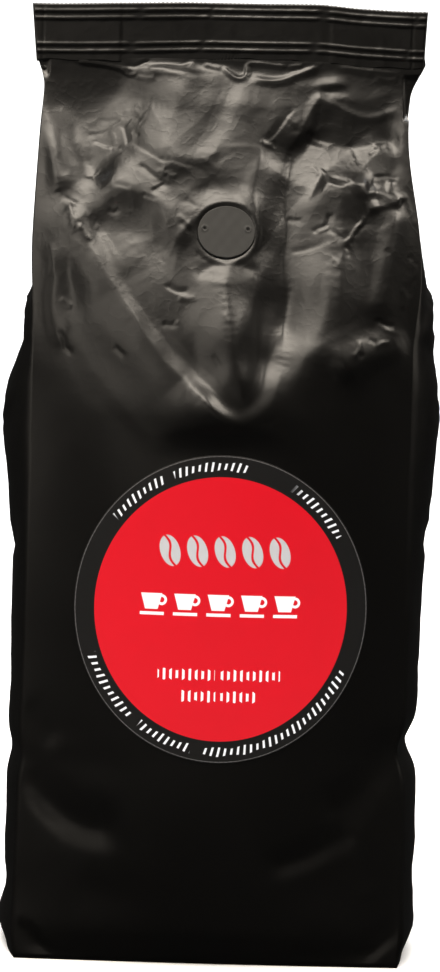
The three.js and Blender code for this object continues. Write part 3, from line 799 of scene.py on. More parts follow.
    def tuck_depth(self, z: Array) -> Array:
        """How far a gusset folds in between the panels: its fixed length less what the depth takes."""
        return np.sqrt(np.maximum(self.gusset_half_length**2 - self.corner(z) ** 2, 0.0))

    def room(self, x: Array, z: Array, edge: Array, plain: Array) -> Array:
        """How far the front film can sink: most of its depth over the gusset folded in behind it.

        Args:
            x: The places' distances to the right of the middle.
            z: The places' heights.
            edge: The corner crease's distance from the middle plane.
            plain: The film's depth without its folds.

        Returns:
            The room, in the shape of x.
        """
        inward = np.clip((edge - np.abs(x)) / np.maximum(self.tuck_depth(z), 1.0), 0.0, 1.0)
        layer = self.corner(z) * (1.0 - np.cbrt(inward)) * ease(z, self.pocket_apex, self.pocket_full)
        return np.maximum(0.8 * (plain - layer), self.least_room)

    def valve_seat(self, x: Array, z: Array) -> Array:
        """The film round the valve: a low rim, then a round groove down to the seat.

        The rim is a bell over the radius, and the seat is a smooth step down inside the groove. The
        film leans back a little more than the valve does, and level turns it to the valve's plane.

        Args:
            x: The places' distances to the right of the middle.
            z: The places' heights.

        Returns:
            The lift, in the shape of x.
        """
        out = np.hypot(x - self.valve[0], z - self.valve[1]) - self.valve_radius
        rim = self.rim_height * np.exp(-(((out - self.rim_offset) / self.rim_width) ** 2))
        seat = -self.seat_depth * ease(0.3 - out, 0.0, 0.5)
        level = self.seat_lean * (z - self.valve[1]) * ease(self.seat_reach - out, 0.0, 8.0)
        return rim + seat + level

    def back(self, x: Array, z: Array) -> Array:
        """The back film's distance behind the middle plane: arch, folds, crumple and the lap seam.

        The lap seam is a strip down the middle that stands up by its own thickness, with a sharp free
        edge on one side and a soft one on the other.

        Args:
            x: The places' distances to the right of the middle.
            z: The places' heights.

        Returns:
            The distance, in the shape of x.
        """
        edge = self.edge_at(x, z)
        near_edge = 1.0 - np.abs(x / edge) ** 12
        lift = total_rise(BACK_FOLDS, x, z) * ease(self.neck + 1.0 - z, 0.0, 8.0) * ease(z, 0.0, 10.0)
        lift = lift + 0.7 * self.crumple(x + 31.0, z + 7.0) * ease(self.neck + 1.0 - z, 0.0, 8.0)
        strip = ease(x, -5.4, -4.6) * ease(5.8 - x, 0.0, 0.8)
        ripple = 0.08 * np.sin(1.1 * z + 2.0 * np.sin(0.13 * z)) * np.exp(-(((x - 4.0) / 2.5) ** 2))
        lap = (self.lap_height + ripple) * strip
        return self.arch(x, z, edge) + lift * near_edge * ease(z, 0.0, 6.0) + lap

    def gusset(self, side: Side, y: Array, z: Array) -> Array:
        """How far a gusset's film stands out past the corner creases, or is tucked in between them.

        Filled, it swells by 1 - (y/half)^2, with a crease left from the flat bag along its middle.
        Under the seal it is folded in, and its depth follows from its fixed length.

        Args:
            side: The gusset.
            y: The places across it, + towards the back.
            z: The heights.

        Returns:
            The distance out from the creases, in the shape of y.
        """
        half = self.corner(z)
        across = np.minimum(np.abs(y) / (half * np.where(y < 0.0, 1.0 - self.recess(side, z), 1.0)), 1.0)
        dent = self.dents[side].gusset_depth * self.dent(side, z, (y / half + 1.0) / 2.0)
        swell = (self.swell[side](np.minimum(z, self.pocket_apex)) - dent) * (1.0 - across**2)
        tuck = self.tuck_depth(z) * (1.0 - across) ** 3
        folded = ease(z, self.pocket_apex - 3.0, self.pocket_full)
        opened = ease(self.neck - z, 0.0, 9.0)
        crease = -self.gusset_crease * np.exp(-np.abs(y) / self.gusset_crease_reach)
        crease = crease * ease(z, 8.0, 30.0) * ease(228.0 - z, 0.0, 12.0)
        mirrored = y if side is Side.RIGHT else y * 0.92 + 1.3
        wrinkle = total_rise(GUSSET_FOLDS, mirrored, z + (0.0 if side is Side.RIGHT else 5.0))
        crumple = Facets(11.0, 0.55, SEED + 5 + side.value, 0.8).rise(y, z)
        crumple = crumple + Facets(4.0, 0.16, SEED + 9 + side.value, 1.7).rise(y, z)
        relief = (wrinkle + crumple * (0.5 + 0.8 * ease(z, 170.0, 225.0))) * (1.0 - across**6)
        relief = relief * ease(z, 0.0, 12.0) * ease(self.pocket_full + 4.0 - z, 0.0, 14.0)
        return (swell * (1.0 - folded) - tuck * folded) * opened + relief + crease * (1.0 - across)


@dataclass
class FilmBody:
    """The film of the filled bag, from its flat bottom to where it runs into the seal."""

    form: BagForm
    front_columns: int = 140
    gusset_columns: int = 18
    back_columns: int = 28
    bottom_rings: int = 8
    tuck_into_seal: float = 4.0
    belly_rows: Spans = ((0.0, 34.0, 20), (34.0, 90.0, 36), (90.0, 176.0, 20))
    neck_rows: Spans = ((176.0, 200.0, 26), (200.0, 240.0, 66), (240.0, 312.0, 140))
    bottom_groove: float = 0.5

    def sections(self, z: Array, fineness: int) -> Array:
        """The rings of the bag's skin, anticlockwise seen from above, one ring to each height.

        Each ring runs along the front film, the right gusset, the back film and the left gusset.

        Args:
            z: The heights.
            fineness: How many times the count of the front's columns is used.

        Returns:
            The corners in millimetres, as rings by columns by 3.
        """
        form = self.form
        height = z[:, None]
        left, right = form.corner_x(Side.LEFT, height), form.corner_x(Side.RIGHT, height)
        # Above the neck the skin is a flat strip inside the seal, thinner and narrower than it.
        inside = ease(height, form.neck, form.neck + 2.0)
        thin = 1.0 - 0.3 * inside
        left, right = left - 0.6 * inside, right - 0.6 * inside
        corner = form.corner(height) * thin

        def spread(count: int) -> Array:
            """Even steps from 0 up to, and without, 1."""
            return (np.arange(count) / count)[None, :]

        fronts, sides, backs = fineness * self.front_columns, self.gusset_columns, self.back_columns
        full = np.broadcast_to(height, (len(z), fronts))
        x = -left + (left + right) * spread(fronts)
        front = np.stack((x, -form.front(x, full) * thin, full), -1)
        full = np.broadcast_to(height, (len(z), sides))
        y = -corner * (1.0 - form.recess(Side.RIGHT, height)) * (1.0 - spread(sides)) + corner * spread(sides)
        right_side = np.stack((right + form.gusset(Side.RIGHT, y, full) * (1 - inside), y, full), -1)
        y = corner * (1.0 - spread(sides)) - corner * (1.0 - form.recess(Side.LEFT, height)) * spread(sides)
        left_side = np.stack((-left - form.gusset(Side.LEFT, y, full) * (1 - inside), y, full), -1)
        full = np.broadcast_to(height, (len(z), backs))
        x = right - (left + right) * spread(backs)
        back = np.stack((x, form.back(x, full) * thin, full), -1)
        return np.concatenate((front, right_side, back, left_side), axis=1)

    def bottom(self, ring: Array) -> Array:
        """The underside, in rings that shrink to the middle, with its folded seam and corner folds.

        The seam is a shallow groove along X, and the corner folds are grooves from its ends to the
        four corners. All of them go up into the bag, so the rest of the bottom stays flat.

        Args:
            ring: The lowest section.

        Returns:
            The corners, as rings from the outside in by columns by 3.
        """
        share = np.linspace(1.0, 0.0, self.bottom_rings + 1)[1:-1][:, None]
        x, y = ring[None, :, 0] * share, ring[None, :, 1] * share
        seam = np.exp(-((y / 1.2) ** 2))
        corners = np.exp(-(((np.abs(y) - 0.9 * (np.abs(x) - 34.0)) / 1.5) ** 2)) * ease(np.abs(x), 32.0, 38.0)
        return np.stack((x, y, self.bottom_groove * np.maximum(seam, corners)), -1)

    def widening(self, columns: int, first: int) -> tuple[Array, Array]:
        """The faces between a ring and the next one up, whose front has twice as many columns.

        Args:
            columns: The corners in the lower ring, the front's first.
            first: The number of the lower ring's first corner.

        Returns:
            Three triangles to each edge of the front, and the four-sided faces of the rest.
        """
        fronts = self.front_columns
        i = np.arange(columns)
        low, low_next = first + i, first + (i + 1) % columns
        high = first + columns + np.where(i < fronts, 2 * i, i + fronts)
        high_next = first + columns + np.where(i < fronts, 2 * i + 2, (i + 1 + fronts) % (columns + fronts))
        parts = ((low, high + 1, high), (low, low_next, high + 1), (low_next, high_next, high + 1))
        triangles = np.concatenate([np.stack(part, -1)[:fronts] for part in parts])
        return triangles, np.stack((low, low_next, high_next, high), -1)[fronts:]

    def build(self) -> bpy.types.Object:
        """Builds the skin as one closed mesh and reports it.

        Returns:
            The new object.
        """
        def rows(spans: Spans) -> Array:
            """The heights of the rings, from spans of (low, high, count)."""
            return np.concatenate([np.linspace(*span, endpoint=False) for span in spans])

        lower = self.sections(rows(self.belly_rows), 1)
        top = self.neck_rows[-1][1] + self.tuck_into_seal * np.array([0.0, 0.5, 1.0])
        upper = self.sections(np.concatenate((rows(self.neck_rows), top)), 2)
        bottom = self.bottom(lower[0])
        stack = np.concatenate((bottom[::-1], lower))
        columns, upper_columns = stack.shape[1], upper.shape[1]
        meeting = (len(stack) - 1) * columns
        first_upper = len(stack) * columns
        last = first_upper + len(upper) * upper_columns
        middles = np.array([[0.0, 0.0, self.bottom_groove], [*upper[-1].mean(0)]])
        points = np.concatenate((stack.reshape(-1, 3), upper.reshape(-1, 3), middles))
        triangles, joining = self.widening(columns, meeting)
        quads = np.concatenate((
            ring_faces(len(stack), columns), ring_faces(len(upper), upper_columns, first_upper), joining,
        ))
        caps = np.concatenate((
            triangles,
            fan(np.arange(columns), last, False),
            fan(last - upper_columns + np.arange(upper_columns), last + 1, True),
        ))
        piece = mesh_piece("film_body", points, (quads, caps))
        log.info("film body: %d triangles", 2 * len(quads) + len(caps))
        return piece


@dataclass
class SealFin:
    """The flat seal across the top: ribbed bands, a plain margin and a finely toothed edge."""

    form: BagForm
    columns: int = 280
    rows: int = 64
    rib_offsets: tuple[float, ...] = (3.1, 5.7, 14.8, 17.4)
    rib_height: float = 0.36
    rib_reach: float = 0.72
    tooth_pitch: float = 1.5
    tooth_depth: float = 0.4
    layer_edge: float = 38.0
    layer_step: float = 0.16
    kinks: tuple[Pair, ...] = ((-34.0, 1.6), (-9.0, 0.9), (31.0, 1.8), (64.0, 0.7))
    kink_depth: float = 0.55
    crimp_depth: float = 0.16
    end_lines: Pair = (-67.0, 64.3)
    end_line_depth: float = 0.18
    end_line_reach: float = 0.35
    end_radius: float = 0.8

    def __post_init__(self) -> None:
        """Works out the top edge's line and the fin's half widths at its foot and its top."""
        self.top = Profile((-70, -1.75), (-34, -0.85), (-9, 0.2), (18, 0.45), (31, 0.6), (36, 0.3),
                           (45, -0.4), (70, -1.2))
        self.halves = {Side.LEFT: (69.3, 71.2), Side.RIGHT: (68.7, 69.6)}

    def surface(self, x: Array, z: Array, facing: float) -> Array:
        """Where one face of the fin lies, as a distance from the middle plane.

        The face is the film's thickness, plus a bell for each rib, less a step where the tucked gusset
        layers end inside, plus the crimp wrinkles and the kinks that cross the ribs.

        Args:
            x: The places' distances to the right of the middle.
            z: The places' heights.
            facing: -1 on the front face and 1 on the back face.

        Returns:
            The distance, + for the side that the face is on.
        """
        below_top = self.form.height + self.top(x) - z
        thick = self.form.seal_half_thickness + 0.12
        thick = thick - self.layer_step * ease(self.layer_edge - np.abs(x + 2.0), 0.0, 1.2)
        ribs = sum(np.exp(-(((below_top - offset) / self.rib_reach) ** 2)) for offset in self.rib_offsets)
        lean = 0.25 * facing * (below_top - 10.0)
        pressed = 1.0 - self.kink_depth * sum(
            np.exp(-(((x - place - lean) / reach) ** 2)) for place, reach in self.kinks
        )
        crimp = np.exp(-(((x + 1.0) / 5.0) ** 2)) * ease(below_top, 17.6, 19.0)
        crimp = self.crimp_depth * np.sin(5.2 * x) * crimp
        lines = -self.end_line_depth * sum(
            np.exp(-(((x - place) / self.end_line_reach) ** 2)) for place in self.end_lines
        )
        band = ease(below_top, 7.0, 9.0) * ease(14.0 - below_top, 0.0, 2.0)
        band = 0.06 * np.sin(0.21 * x + 0.4 * facing) * band
        grain = Facets(5.5, 0.07, SEED + 20 + int(facing), 0.9).rise(x, z)
        return thick + self.rib_height * ribs * pressed + crimp + lines + band + grain

    def wave(self, x: Array, z: Array) -> Array:
        """The slow bend of the whole fin: none at its foot and most along its top edge."""
        up = ease(z, self.form.neck, self.form.height)
        return up * (0.7 * np.sin(0.045 * x + 0.6) + 0.35 * np.sin(0.11 * x + 2.0) - 0.25)

    def build(self) -> bpy.types.Object:
        """Builds the fin as one closed mesh and reports it.

        Returns:
            The new object.
        """
        form = self.form
        t = np.linspace(-1.0, 1.0, self.columns)[None, :]
        share = np.linspace(0.0, 1.0, self.rows)[:, None]
        left, right = (low + (high - low) * share for low, high in self.halves.values())
        half = np.where(t < 0.0, left, right)
        x = half * t
        high = form.height + self.top(x)
        low = high - form.seal_height - 0.9
        saw = np.abs((x / self.tooth_pitch) % 1.0 - 0.5) * 2.0
        tooth = self.tooth_depth * saw * ease(share, 0.9, 1.0)
        foot = 0.5 * np.sin(0.09 * x + 1.0) * (1.0 - ease(share, 0.0, 0.2))
        foot = foot + 0.25 * np.sin(0.37 * x) * (1.0 - share)
        z = low + (high - low) * share - tooth + np.maximum(foot, -0.3)
        past = np.clip((np.abs(x) - half + self.end_radius) / self.end_radius, 0.0, 1.0)
        rounded = np.sqrt(np.maximum(1.0 - past**2, 0.04))
        closing = 1.0 - 0.6 * ease(share, 0.97, 1.0) - 0.06 * (1.0 - ease(share, 0.0, 0.03))
        bend = self.wave(x, z)
        front = np.stack((x, bend - self.surface(x, z, -1.0) * rounded * closing, z), -1)
        back = np.stack((x, bend + self.surface(x, z, 1.0) * rounded * closing, z), -1)
        rings = np.concatenate((front, back[:, ::-1]), axis=1)
        count = rings.shape[1]
        faces = ring_faces(self.rows, count)
        i = np.arange(self.columns - 1)
        strip = np.stack((i, count - 1 - i, count - 2 - i, i + 1), -1)
        top = strip + (self.rows - 1) * count
        piece = mesh_piece("seal_fin", rings.reshape(-1, 3), (faces, strip, top[:, ::-1]))
        log.info("seal fin: %d faces", len(faces) + 2 * len(strip))
        return piece


@dataclass
class Valve:
    """The degassing valve's face: a flat satin disc with two pin holes."""

    form: BagForm
    tilt_degrees: float = 18.5
    face: float = 0.12
    depth: float = 1.3
    edge: float = 0.35
    sides: int = 128
    rings: int = 44
    hole_x: float = 7.4
    hole_z: float = 1.1
    hole_radius: float = 0.42
    hole_depth: float = 0.55
    lip_height: float = 0.12
    lip_radius: float = 0.85
    lip_width: float = 0.35

    def lift(self, x: Array, z: Array) -> Array:
        """The face's height over its own plane: a slight dish, and a hole with a low lip at each pin.

        A pin hole is a bell down, and its lip is a ring of small height round it.

        Args:
            x: The places' distances to the right of the disc's middle.
            z: The places' distances up the disc from its middle.

        Returns:
            The height, in the shape of x.
        """
        r = np.hypot(x, z)
        dish = 0.05 * (r / self.form.valve_radius) ** 4 + 0.015 * np.sin(1.3 * x + 0.4) * np.sin(0.9 * z)
        for side in (-1.0, 1.0):
            near = np.hypot(x - side * self.hole_x, z - self.hole_z)
            dish = dish - self.hole_depth * np.exp(-((near / self.hole_radius) ** 2))
            dish = dish + self.lip_height * np.exp(-(((near - self.lip_radius) / self.lip_width) ** 2))
        return dish

    def center(self) -> Array:
        """The place of the disc's middle: on the plain arch of the front.

        Returns:
            The place in millimetres.
        """
        x, z = self.form.valve
        edge = np.array([self.form.corner_width])
        return np.array([x, -self.form.arch(np.array([x]), np.array([z]), edge)[0], z])

    def build(self) -> bpy.types.Object:
        """Builds the disc, with a rounded edge and a flat back, as one closed mesh.

        Returns:
            The new object.
        """
        def circles(radii: Array | float, depth: Array | float) -> Array:
            """Rings of corners round the middle, at a depth behind the disc's plane."""
            places = (radii * np.cos(angle), depth, radii * np.sin(angle))
            return np.stack(np.broadcast_arrays(*places), -1)

        radius = self.form.valve_radius - 0.1
        angle = np.linspace(0.0, 2.0 * math.pi, self.sides, endpoint=False)[None, :]
        share = np.linspace(1.0, 0.0, self.rings + 1)[:-1][:, None]
        flat = (radius - self.edge) * share
        top = circles(flat, -(self.face + self.lift(flat * np.cos(angle), flat * np.sin(angle))))
        turn = np.linspace(0.0, 0.5 * math.pi, 6)[:-1][:, None]
        r = radius - self.edge + self.edge * np.cos(turn)
        out = self.face - self.edge + self.edge * np.sin(turn) + 0.05 * np.sin(turn)
        rings = np.concatenate((circles(radius, self.depth - self.face), circles(r, -out), top))
        middles = np.array([[0.0, self.depth - self.face, 0.0], [0.0, -self.face, 0.0]])
        points = np.concatenate((rings.reshape(-1, 3), middles))
        tilt = math.radians(-self.tilt_degrees)
        c, s = math.cos(tilt), math.sin(tilt)
        turned = points @ np.array([[1.0, 0.0, 0.0], [0.0, c, s], [0.0, -s, c]])
        faces, caps = stack_faces(len(rings), self.sides)
        piece = mesh_piece("valve_disc", turned + self.center(), (faces, caps))
        log.info("valve: %d faces", len(faces) + len(caps))
        return piece


@dataclass
class Label:
    """The round sticker on the belly: a thin sheet that follows the film."""

    form: BagForm
    gap: float = 0.05
    thickness: float = 0.16
    rings: int = 70
    sides: int = 320

    def build(self) -> bpy.types.Object:
        """Builds the sheet as one closed mesh, with its own flat coordinates as a UV map.

        Returns:
            The new object.
        """
        form = self.form
        angle = np.linspace(0.0, 2.0 * math.pi, self.sides, endpoint=False)[None, :]
        share = (np.linspace(1.0, 0.0, self.rings + 1)[:-1] ** 0.9)[:, None]

        def sheet(radii: Array, lift: float) -> Array:
            """Rings of corners at a lift in front of the film.

            Args:
                radii: The rings' radii, as shares of the label's.
                lift: The distance in front of the film.

            Returns:
                The corners, as rings by columns by 3.
            """
            x = form.label[0] + form.label_half[0] * radii * np.cos(angle)
            z = form.label[1] + form.label_half[1] * radii * np.sin(angle)
            return np.stack((x, -form.front(x, z) - lift, z), -1)

        back = sheet(share[::-1], self.gap)
        rim = sheet(share[:1] * 0.9992, self.gap + self.thickness)
        front = sheet(share[1:], self.gap + self.thickness)
        edge = sheet(share[:1], self.gap + 0.6 * self.thickness)
        rings = np.concatenate((back, edge, rim, front))
        x, z = form.label
        film = -float(form.front(np.array([x]), np.array([z]))[0])
        middles = np.array([[x, film - self.gap, z], [x, film - self.gap - self.thickness, z]])
        points = np.concatenate((rings.reshape(-1, 3), middles))
        faces, caps = stack_faces(len(rings), self.sides)
        piece = mesh_piece("label_sheet", points, (faces, caps))
        flat = (points[:, [0, 2]] - np.array(form.label)) / (2.0 * np.array(form.label_half)) + 0.5
        corners = np.empty(len(piece.data.loops), np.int32)
        piece.data.loops.foreach_get("vertex_index", corners)
        layer = piece.data.uv_layers.new(name="flat")
        layer.data.foreach_set("uv", flat[corners].astype(np.float32).ravel())
        log.info("label: %d faces", len(faces) + len(caps))
        return piece


class Wire:
    """One output of a material's nodes, with the arithmetic of Math nodes on it."""

    def __init__(self, bench: "Bench", socket: bpy.types.NodeSocket) -> None:
        """Keeps the socket and the bench that it belongs to."""
        self.bench = bench
        self.socket = socket

    def math(self, operation: str, *others: "Wire | float", first: "float | None" = None) -> "Wire":
        """A Math node fed with this wire and others, or with a number first and then this wire."""
        values = [self, *others] if first is None else [first, self]
        return self.bench.node("ShaderNodeMath", {"operation": operation}, dict(enumerate(values)))

    def __add__(self, other: "Wire | float") -> "Wire":
        """The sum."""
        return self.math("ADD", other)

    __radd__ = __add__

    def __sub__(self, other: "Wire | float") -> "Wire":
        """The difference."""
        return self.math("SUBTRACT", other)

    def __rsub__(self, other: float) -> "Wire":
        """A number less this wire."""
        return self.math("SUBTRACT", first=other)

    def __mul__(self, other: "Wire | float") -> "Wire":
        """The product."""
        return self.math("MULTIPLY", other)

    def __truediv__(self, other: "Wire | float") -> "Wire":
        """The quotient."""
        return self.math("DIVIDE", other)

    def __pow__(self, other: float) -> "Wire":
        """The power."""
        return self.math("POWER", other)

    def __neg__(self) -> "Wire":
        """The wire with its sign turned."""
        return self.math("MULTIPLY", -1.0)

    def __abs__(self) -> "Wire":
        """The wire without its sign."""
        return self.math("ABSOLUTE")

    def least(self, other: "Wire | float") -> "Wire":
        """The smaller of the two."""
        return self.math("MINIMUM", other)

    def most(self, other: "Wire | float") -> "Wire":
        """The larger of the two."""
        return self.math("MAXIMUM", other)

    def wrapped(self, span: float) -> "Wire":
        """What is left over after whole spans, measured from the middle of a span."""
        return self.math("FLOORED_MODULO", span) - 0.5 * span

    def sine(self) -> "Wire":
        """The sine."""
        return self.math("SINE")

    def ramp(self, start: float, end: float) -> "Wire":
        """A smooth ramp from 0 at start to 1 at end."""
        values = {"Value": self, "From Min": start, "From Max": end}
        return self.bench.node("ShaderNodeMapRange", {"interpolation_type": "SMOOTHSTEP"}, values)

    def inside(self, softness: float = 0.12) -> "Wire":
        """1 where a distance to an outline is negative and 0 where it is positive."""
        return self.ramp(0.5 * softness, -0.5 * softness)


class Bench:
    """The nodes of a material, or of the world, while they are being laid out."""

    def __init__(self, owner: bpy.types.Material | bpy.types.World, shader: str = "BSDF_PRINCIPLED") -> None:
        """Gives the owner its nodes.

        Args:
            owner: The new material or world.
            shader: The type of the shader that its nodes start with.
        """
        owner.use_nodes = True
        self.tree = owner.node_tree
        self.shader = next(node for node in self.tree.nodes if node.type == shader)

    def feed(self, socket: bpy.types.NodeSocket, value: object) -> None:
        """Links a wire to a socket, or sets the socket to a plain value.

        Args:
            socket: The input.
            value: A wire, a number, or a colour of three parts.
        """
        if isinstance(value, Wire):
            self.tree.links.new(value.socket, socket)
        elif socket.type == "RGBA":
            socket.default_value = (*value, 1.0)
        else:
            socket.default_value = value

    def node(
        self, kind: str, settings: Mapping[str, object], values: Mapping[object, object], output: object = 0
    ) -> Wire:
        """Adds a node.

        Args:
            kind: The node's type.
            settings: Its own properties, by name.
            values: Its inputs, by name or number: a wire or a plain value each.
            output: The name or number of the output that is wanted.

        Returns:
            The wire from that output.
        """
        new = self.tree.nodes.new(kind)
        for key, value in settings.items():
            setattr(new, key, value)
        for key, value in values.items():
            self.feed(new.inputs[key], value)
        return Wire(self, new.outputs[output])

    def set(self, **values: object) -> None:
        """Sets or links the shader's sockets, named with underscores for spaces."""
        for key, value in values.items():
            self.feed(self.shader.inputs[key.replace("_", " ")], value)

    def place(self) -> Wire:
        """The place in the object's own frame, in metres."""
        return self.node("ShaderNodeTexCoord", {}, {}, "Object")

    def split(self, vector: Wire) -> tuple[Wire, Wire, Wire]:
        """The three numbers of a vector."""
        node = self.node("ShaderNodeSeparateXYZ", {}, {0: vector}).socket.node
        return tuple(Wire(self, output) for output in node.outputs)

    def noise(self, place: Wire, size_mm: float, detail: float = 2.0, roughness: float = 0.5) -> Wire:
        """Cloudy noise from 0 to 1, whose patches are about size_mm across."""
        values = {"Vector": place, "Scale": 1.0 / (size_mm * MM), "Detail": detail, "Roughness": roughness}
        return self.node("ShaderNodeTexNoise", {}, values, "Fac")

    def mix(self, share: Wire, low: Wire | Color, high: Wire | Color) -> Wire:
        """A colour between two, by share: the Mix node's inputs 0, 6 and 7, and its output 2."""
        return self.node("ShaderNodeMix", {"data_type": "RGBA"}, {0: share, 6: low, 7: high}, 2)

    def bump(self, height_mm: Wire) -> Wire:
        """The normal of a surface with this relief in millimetres."""
        return self.node("ShaderNodeBump", {}, {"Height": height_mm, "Distance": MM}, "Normal")


def scaled(color: Color, factor: float) -> Color:
    """The colour with each of its parts times factor."""
    return tuple(factor * part for part in color)


@dataclass(frozen=True)
class FilmFinish:
    """Satin black laminate: near black, with a soft sheen, a fine grain and tiny stress wrinkles."""

    color: Color = (0.0018, 0.0017, 0.0016)
    roughness: float = 0.345
    roughness_spread: float = 0.08
    fine_spread: float = 0.06
    scuff_roughness: float = 0.03
    specular: float = 0.25
    coat: float = 0.18
    coat_roughness: float = 0.28
    grain_mm: float = 0.45
    grain_height: float = 0.010
    wrinkle_mm: float = 2.2
    wrinkle_height: float = 0.035
    ridge_mm: float = 7.0
    ridge_height: float = 0.05
    # The heights, in metres, between which the wrinkles grow from a quarter to their full depth.
    wrinkled_from: float = 0.17
    wrinkled_to: float = 0.25

    def make(self, name: str) -> bpy.types.Material:
        """Makes the material.

        Args:
            name: Its name.

        Returns:
            The material.
        """
        material = bpy.data.materials.new(name)
        bench = Bench(material)
        place = bench.place()
        _, _, z = bench.split(place)
        high = z.ramp(self.wrinkled_from, self.wrinkled_to) * 0.75 + 0.25
        cloud = bench.noise(place, 34.0, 3.0)
        fine = bench.noise(place, 3.0, 4.0, 0.6)
        scuffs = bench.noise(place, 9.0, 5.0, 0.65).ramp(0.56, 0.72)
        rough = self.roughness + (cloud - 0.5) * self.roughness_spread
        rough = rough + (fine - 0.5) * self.fine_spread + scuffs * self.scuff_roughness
        tone = bench.mix(cloud, self.color, scaled(self.color, 1.35))
        wrinkles = bench.noise(place, self.wrinkle_mm, 3.0, 0.55) * self.wrinkle_height
        ridged = abs(bench.noise(place, self.ridge_mm, 2.0, 0.5) - 0.5) * 2.0
        ridges = (1.0 - ridged) ** 6.0 * self.ridge_height
        grain = bench.noise(place, self.grain_mm, 1.0) * self.grain_height
        bench.set(
            Base_Color=tone, Roughness=rough, Normal=bench.bump((wrinkles + ridges) * high + grain),
            Specular_IOR_Level=self.specular, Coat_Weight=self.coat, Coat_Roughness=self.coat_roughness,
        )
        return material


@dataclass(frozen=True)
class ValveFinish:
    """The valve's face: the same film pressed flat and dull, dark grey."""

    color: Color = (0.0105, 0.0107, 0.0104)
    roughness: float = 0.5
    roughness_spread: float = 0.1
    specular: float = 0.3
    grain_mm: float = 0.35
    grain_height: float = 0.008

    def make(self, name: str) -> bpy.types.Material:
        """Makes the material.

        Args:
            name: Its name.

        Returns:
            The material.
        """
        material = bpy.data.materials.new(name)
        bench = Bench(material)
        place = bench.place()
        cloud = bench.noise(place, 5.0, 3.0)
        grain = bench.noise(place, self.grain_mm, 1.0) * self.grain_height
        bench.set(
            Base_Color=bench.mix(cloud, self.color, scaled(self.color, 1.12)),
            Roughness=self.roughness + (cloud - 0.5) * self.roughness_spread,
            Normal=bench.bump(grain), Specular_IOR_Level=self.specular,
        )
        return material


